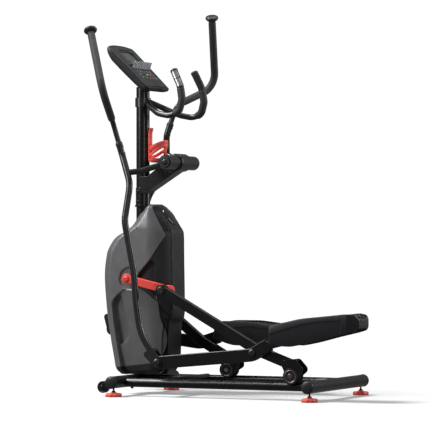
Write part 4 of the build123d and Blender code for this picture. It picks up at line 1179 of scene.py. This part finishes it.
for (side, sign), middle in zip(SIDES, (ROLLER_LEFT, ROLLER_RIGHT)):
    axis = (0, sign, 0)
    roller, carriage, bolt = f"{side}_roller", f"{side}_carriage", f"{side}_roller_axle"
    lathe(
        f"{side}_tyre", middle, axis, tyre_profile, "roller_urethane", roller, segments=64, caps=False,
        replaces=[roller],
    )
    lathe(
        f"{side}_roller_core", middle, axis, ring_profile, "black_plastic", roller, caps=False,
        replaces=[roller],
    )
    lathe(f"{side}_roller_hub", middle, axis, hub_profile, "hub_brown", roller, caps=False)
    lathe(f"{side}_bolt_head", middle, axis, head_profile, "hub_brown", carriage, replaces=[bolt])
    lathe(f"{side}_bolt_shank", middle, axis, shank_profile, "bright_steel", carriage, replaces=[bolt])
    for face, toward in (("outer", sign), ("inner", -sign)):
        lathe(
            f"{side}_{face}_roller_shield", middle, (0, toward, 0), shield_profile, "black_plastic", roller,
            segments=64, caps=False,
        )
        lathe(
            f"{side}_{face}_shield_ring", middle, (0, toward, 0), shield_ring, "bright_steel", roller,
            segments=64, caps=False,
        )
    lathe(f"{side}_bolt_nut", middle, axis, tail_profile, "bright_steel", carriage, segments=6, sharp=25)

wheel_profile = two_sided([(4.2, -11), (9, -11.6), (12, -9), (19, -9), (21, -11.6), (23.4, -12), (25, -10)])
axle_cap = [(0.4, 15.8), (7.5, 15.8), (8, 16.6), (7.6, 18.6), (5, 20), (0.4, 20.4)]
for side, sign in SIDES:
    node = f"{side}_transport_wheel"
    low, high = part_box(node)
    middle, axis = (low + high) / 2, (0, sign, 0)
    lathe(
        f"{side}_small_wheel", middle, axis, wheel_profile, "black_plastic", node, caps=False,
        replaces=[node],
    )
    lathe(f"{side}_wheel_axle_cap", middle, axis, axle_cap, "black_steel", "frame")


# Pivot bolts --------------------------------------------------------------------------------
bolt_dome = [
    (0.5, -1), (14.5, -1), (15.6, 0), (15.6, 2.2), (14.2, 4.4), (10.5, 6.2), (6.4, 7), (5.6, 5), (0.5, 4.8),
]
clamp_dome = [(0.3, -1), (9, -1), (9.4, 0), (9.2, 1.6), (7.6, 3.4), (4.4, 4.6), (3.8, 3.2), (0.3, 3)]


def pivot_bolt(name, place, body, scale=1.0, rise=1.0, finish="gloss_steel"):
    """A domed head on each side's pivot; rise flattens the dome where there is little room."""
    profile = [(radius * scale, height * scale * rise) for radius, height in bolt_dome]
    mirrored(lathe(name, place, (0, -1, 0), profile, finish, body, segments=36))


pivot_bolt("left_leg_pivot_bolt", at(617.6, -244, 193.5), "left_pedal_arm")
pivot_bolt("left_crank_pin_bolt", at(183.8, -207, 444.1), "left_leg", 1.05, rise=0.3)
pivot_bolt("left_clevis_bolt", Vector((ARM_LEFT.x, -0.2505, ARM_LEFT.z)), "left_swing_arm")
pivot_bolt("left_axle_nut", Vector((SWING.x, -0.143, SWING.z)), "frame", 0.8)
for number, height in enumerate((818, 859)):
    head = lathe(
        f"mast_bolt_left_{number}", at(-10.0, -27.4, height), (-0.34, -0.94, 0), clamp_dome, "gloss_steel",
        "frame", segments=32,
    )
    mirrored(head)
pivot_bolt("left_crank_nut", Vector((CRANK.x, -0.132, CRANK.z)), "crank", 0.9, finish="red_paint")


# Housing details ----------------------------------------------------------------------------
def side_place(x, z, proud):
    """A point at one side-view place, standing proud of the housing's left flank by so many millimetres."""
    return at(x, -(flank_half_width(x, z) + proud), z)


def ridge_radius(share):
    """A thin ridge, drawn to a point at both ends."""
    return 1.6 * min(1.0, 0.3 + 14 * min(share, 1 - share))


shell_edge = table([(676, 145), (793, 77)])
for number, share in enumerate((0.3, 0.62)):
    ridge = []
    for height in range(692, 768, 3):
        back = shell_edge(height) + share * (rear_edge(height) - shell_edge(height))
        ridge.append(side_place(back, height, -0.4))
    mirrored(
        sweep(f"shroud_ridge_left_{number}", ridge, ridge_radius, "black_plastic", "frame", segments=12)
    )

lens_middle = at(rear_edge(757) - 1.0, 0, 757)
lens_up = (at(rear_edge(790), 0, 790) - at(rear_edge(722), 0, 722)).normalized()
lens_out = Vector((lens_up.z, 0, -lens_up.x))
lens_rings = []
for scale, lift in (
    (1.1, -4), (1.1, 1.0), (1.07, 2.2), (1.0, 2.9), (0.95, 2.2), (0.93, 1.7), (0.9, 2.1), (0.75, 3.2),
    (0.5, 4.2), (0.25, 4.7), (0.02, 4.9),
):
    ring = []
    for k in range(64):
        turn = 2 * pi * k / 64
        place = (lift * MM, 37 * scale * cos(turn) * MM, 40 * scale * sin(turn) * MM)
        ring.append(lens_middle + lens_out * place[0] + ACROSS * place[1] + lens_up * place[2])
    lens_rings.append(ring)
loft("plain_lens", lens_rings, "badge_gloss", "frame", sharp=50)

screw_place = (22, 704)
socket_profile = [
    (0.3, -1), (5.6, -1), (5.6, 1.2), (4.8, 1.5), (4.2, 0.4), (3.6, 0.2), (2.4, 0.9), (0.3, 0.8),
]
shell_screw = lathe(
    "shell_screw_left_0", side_place(*screw_place, -1.0 - side_depth(*screw_place, True)), (0, -1, 0),
    socket_profile, "badge_gloss", "frame", segments=24,
)
mirrored(shell_screw)
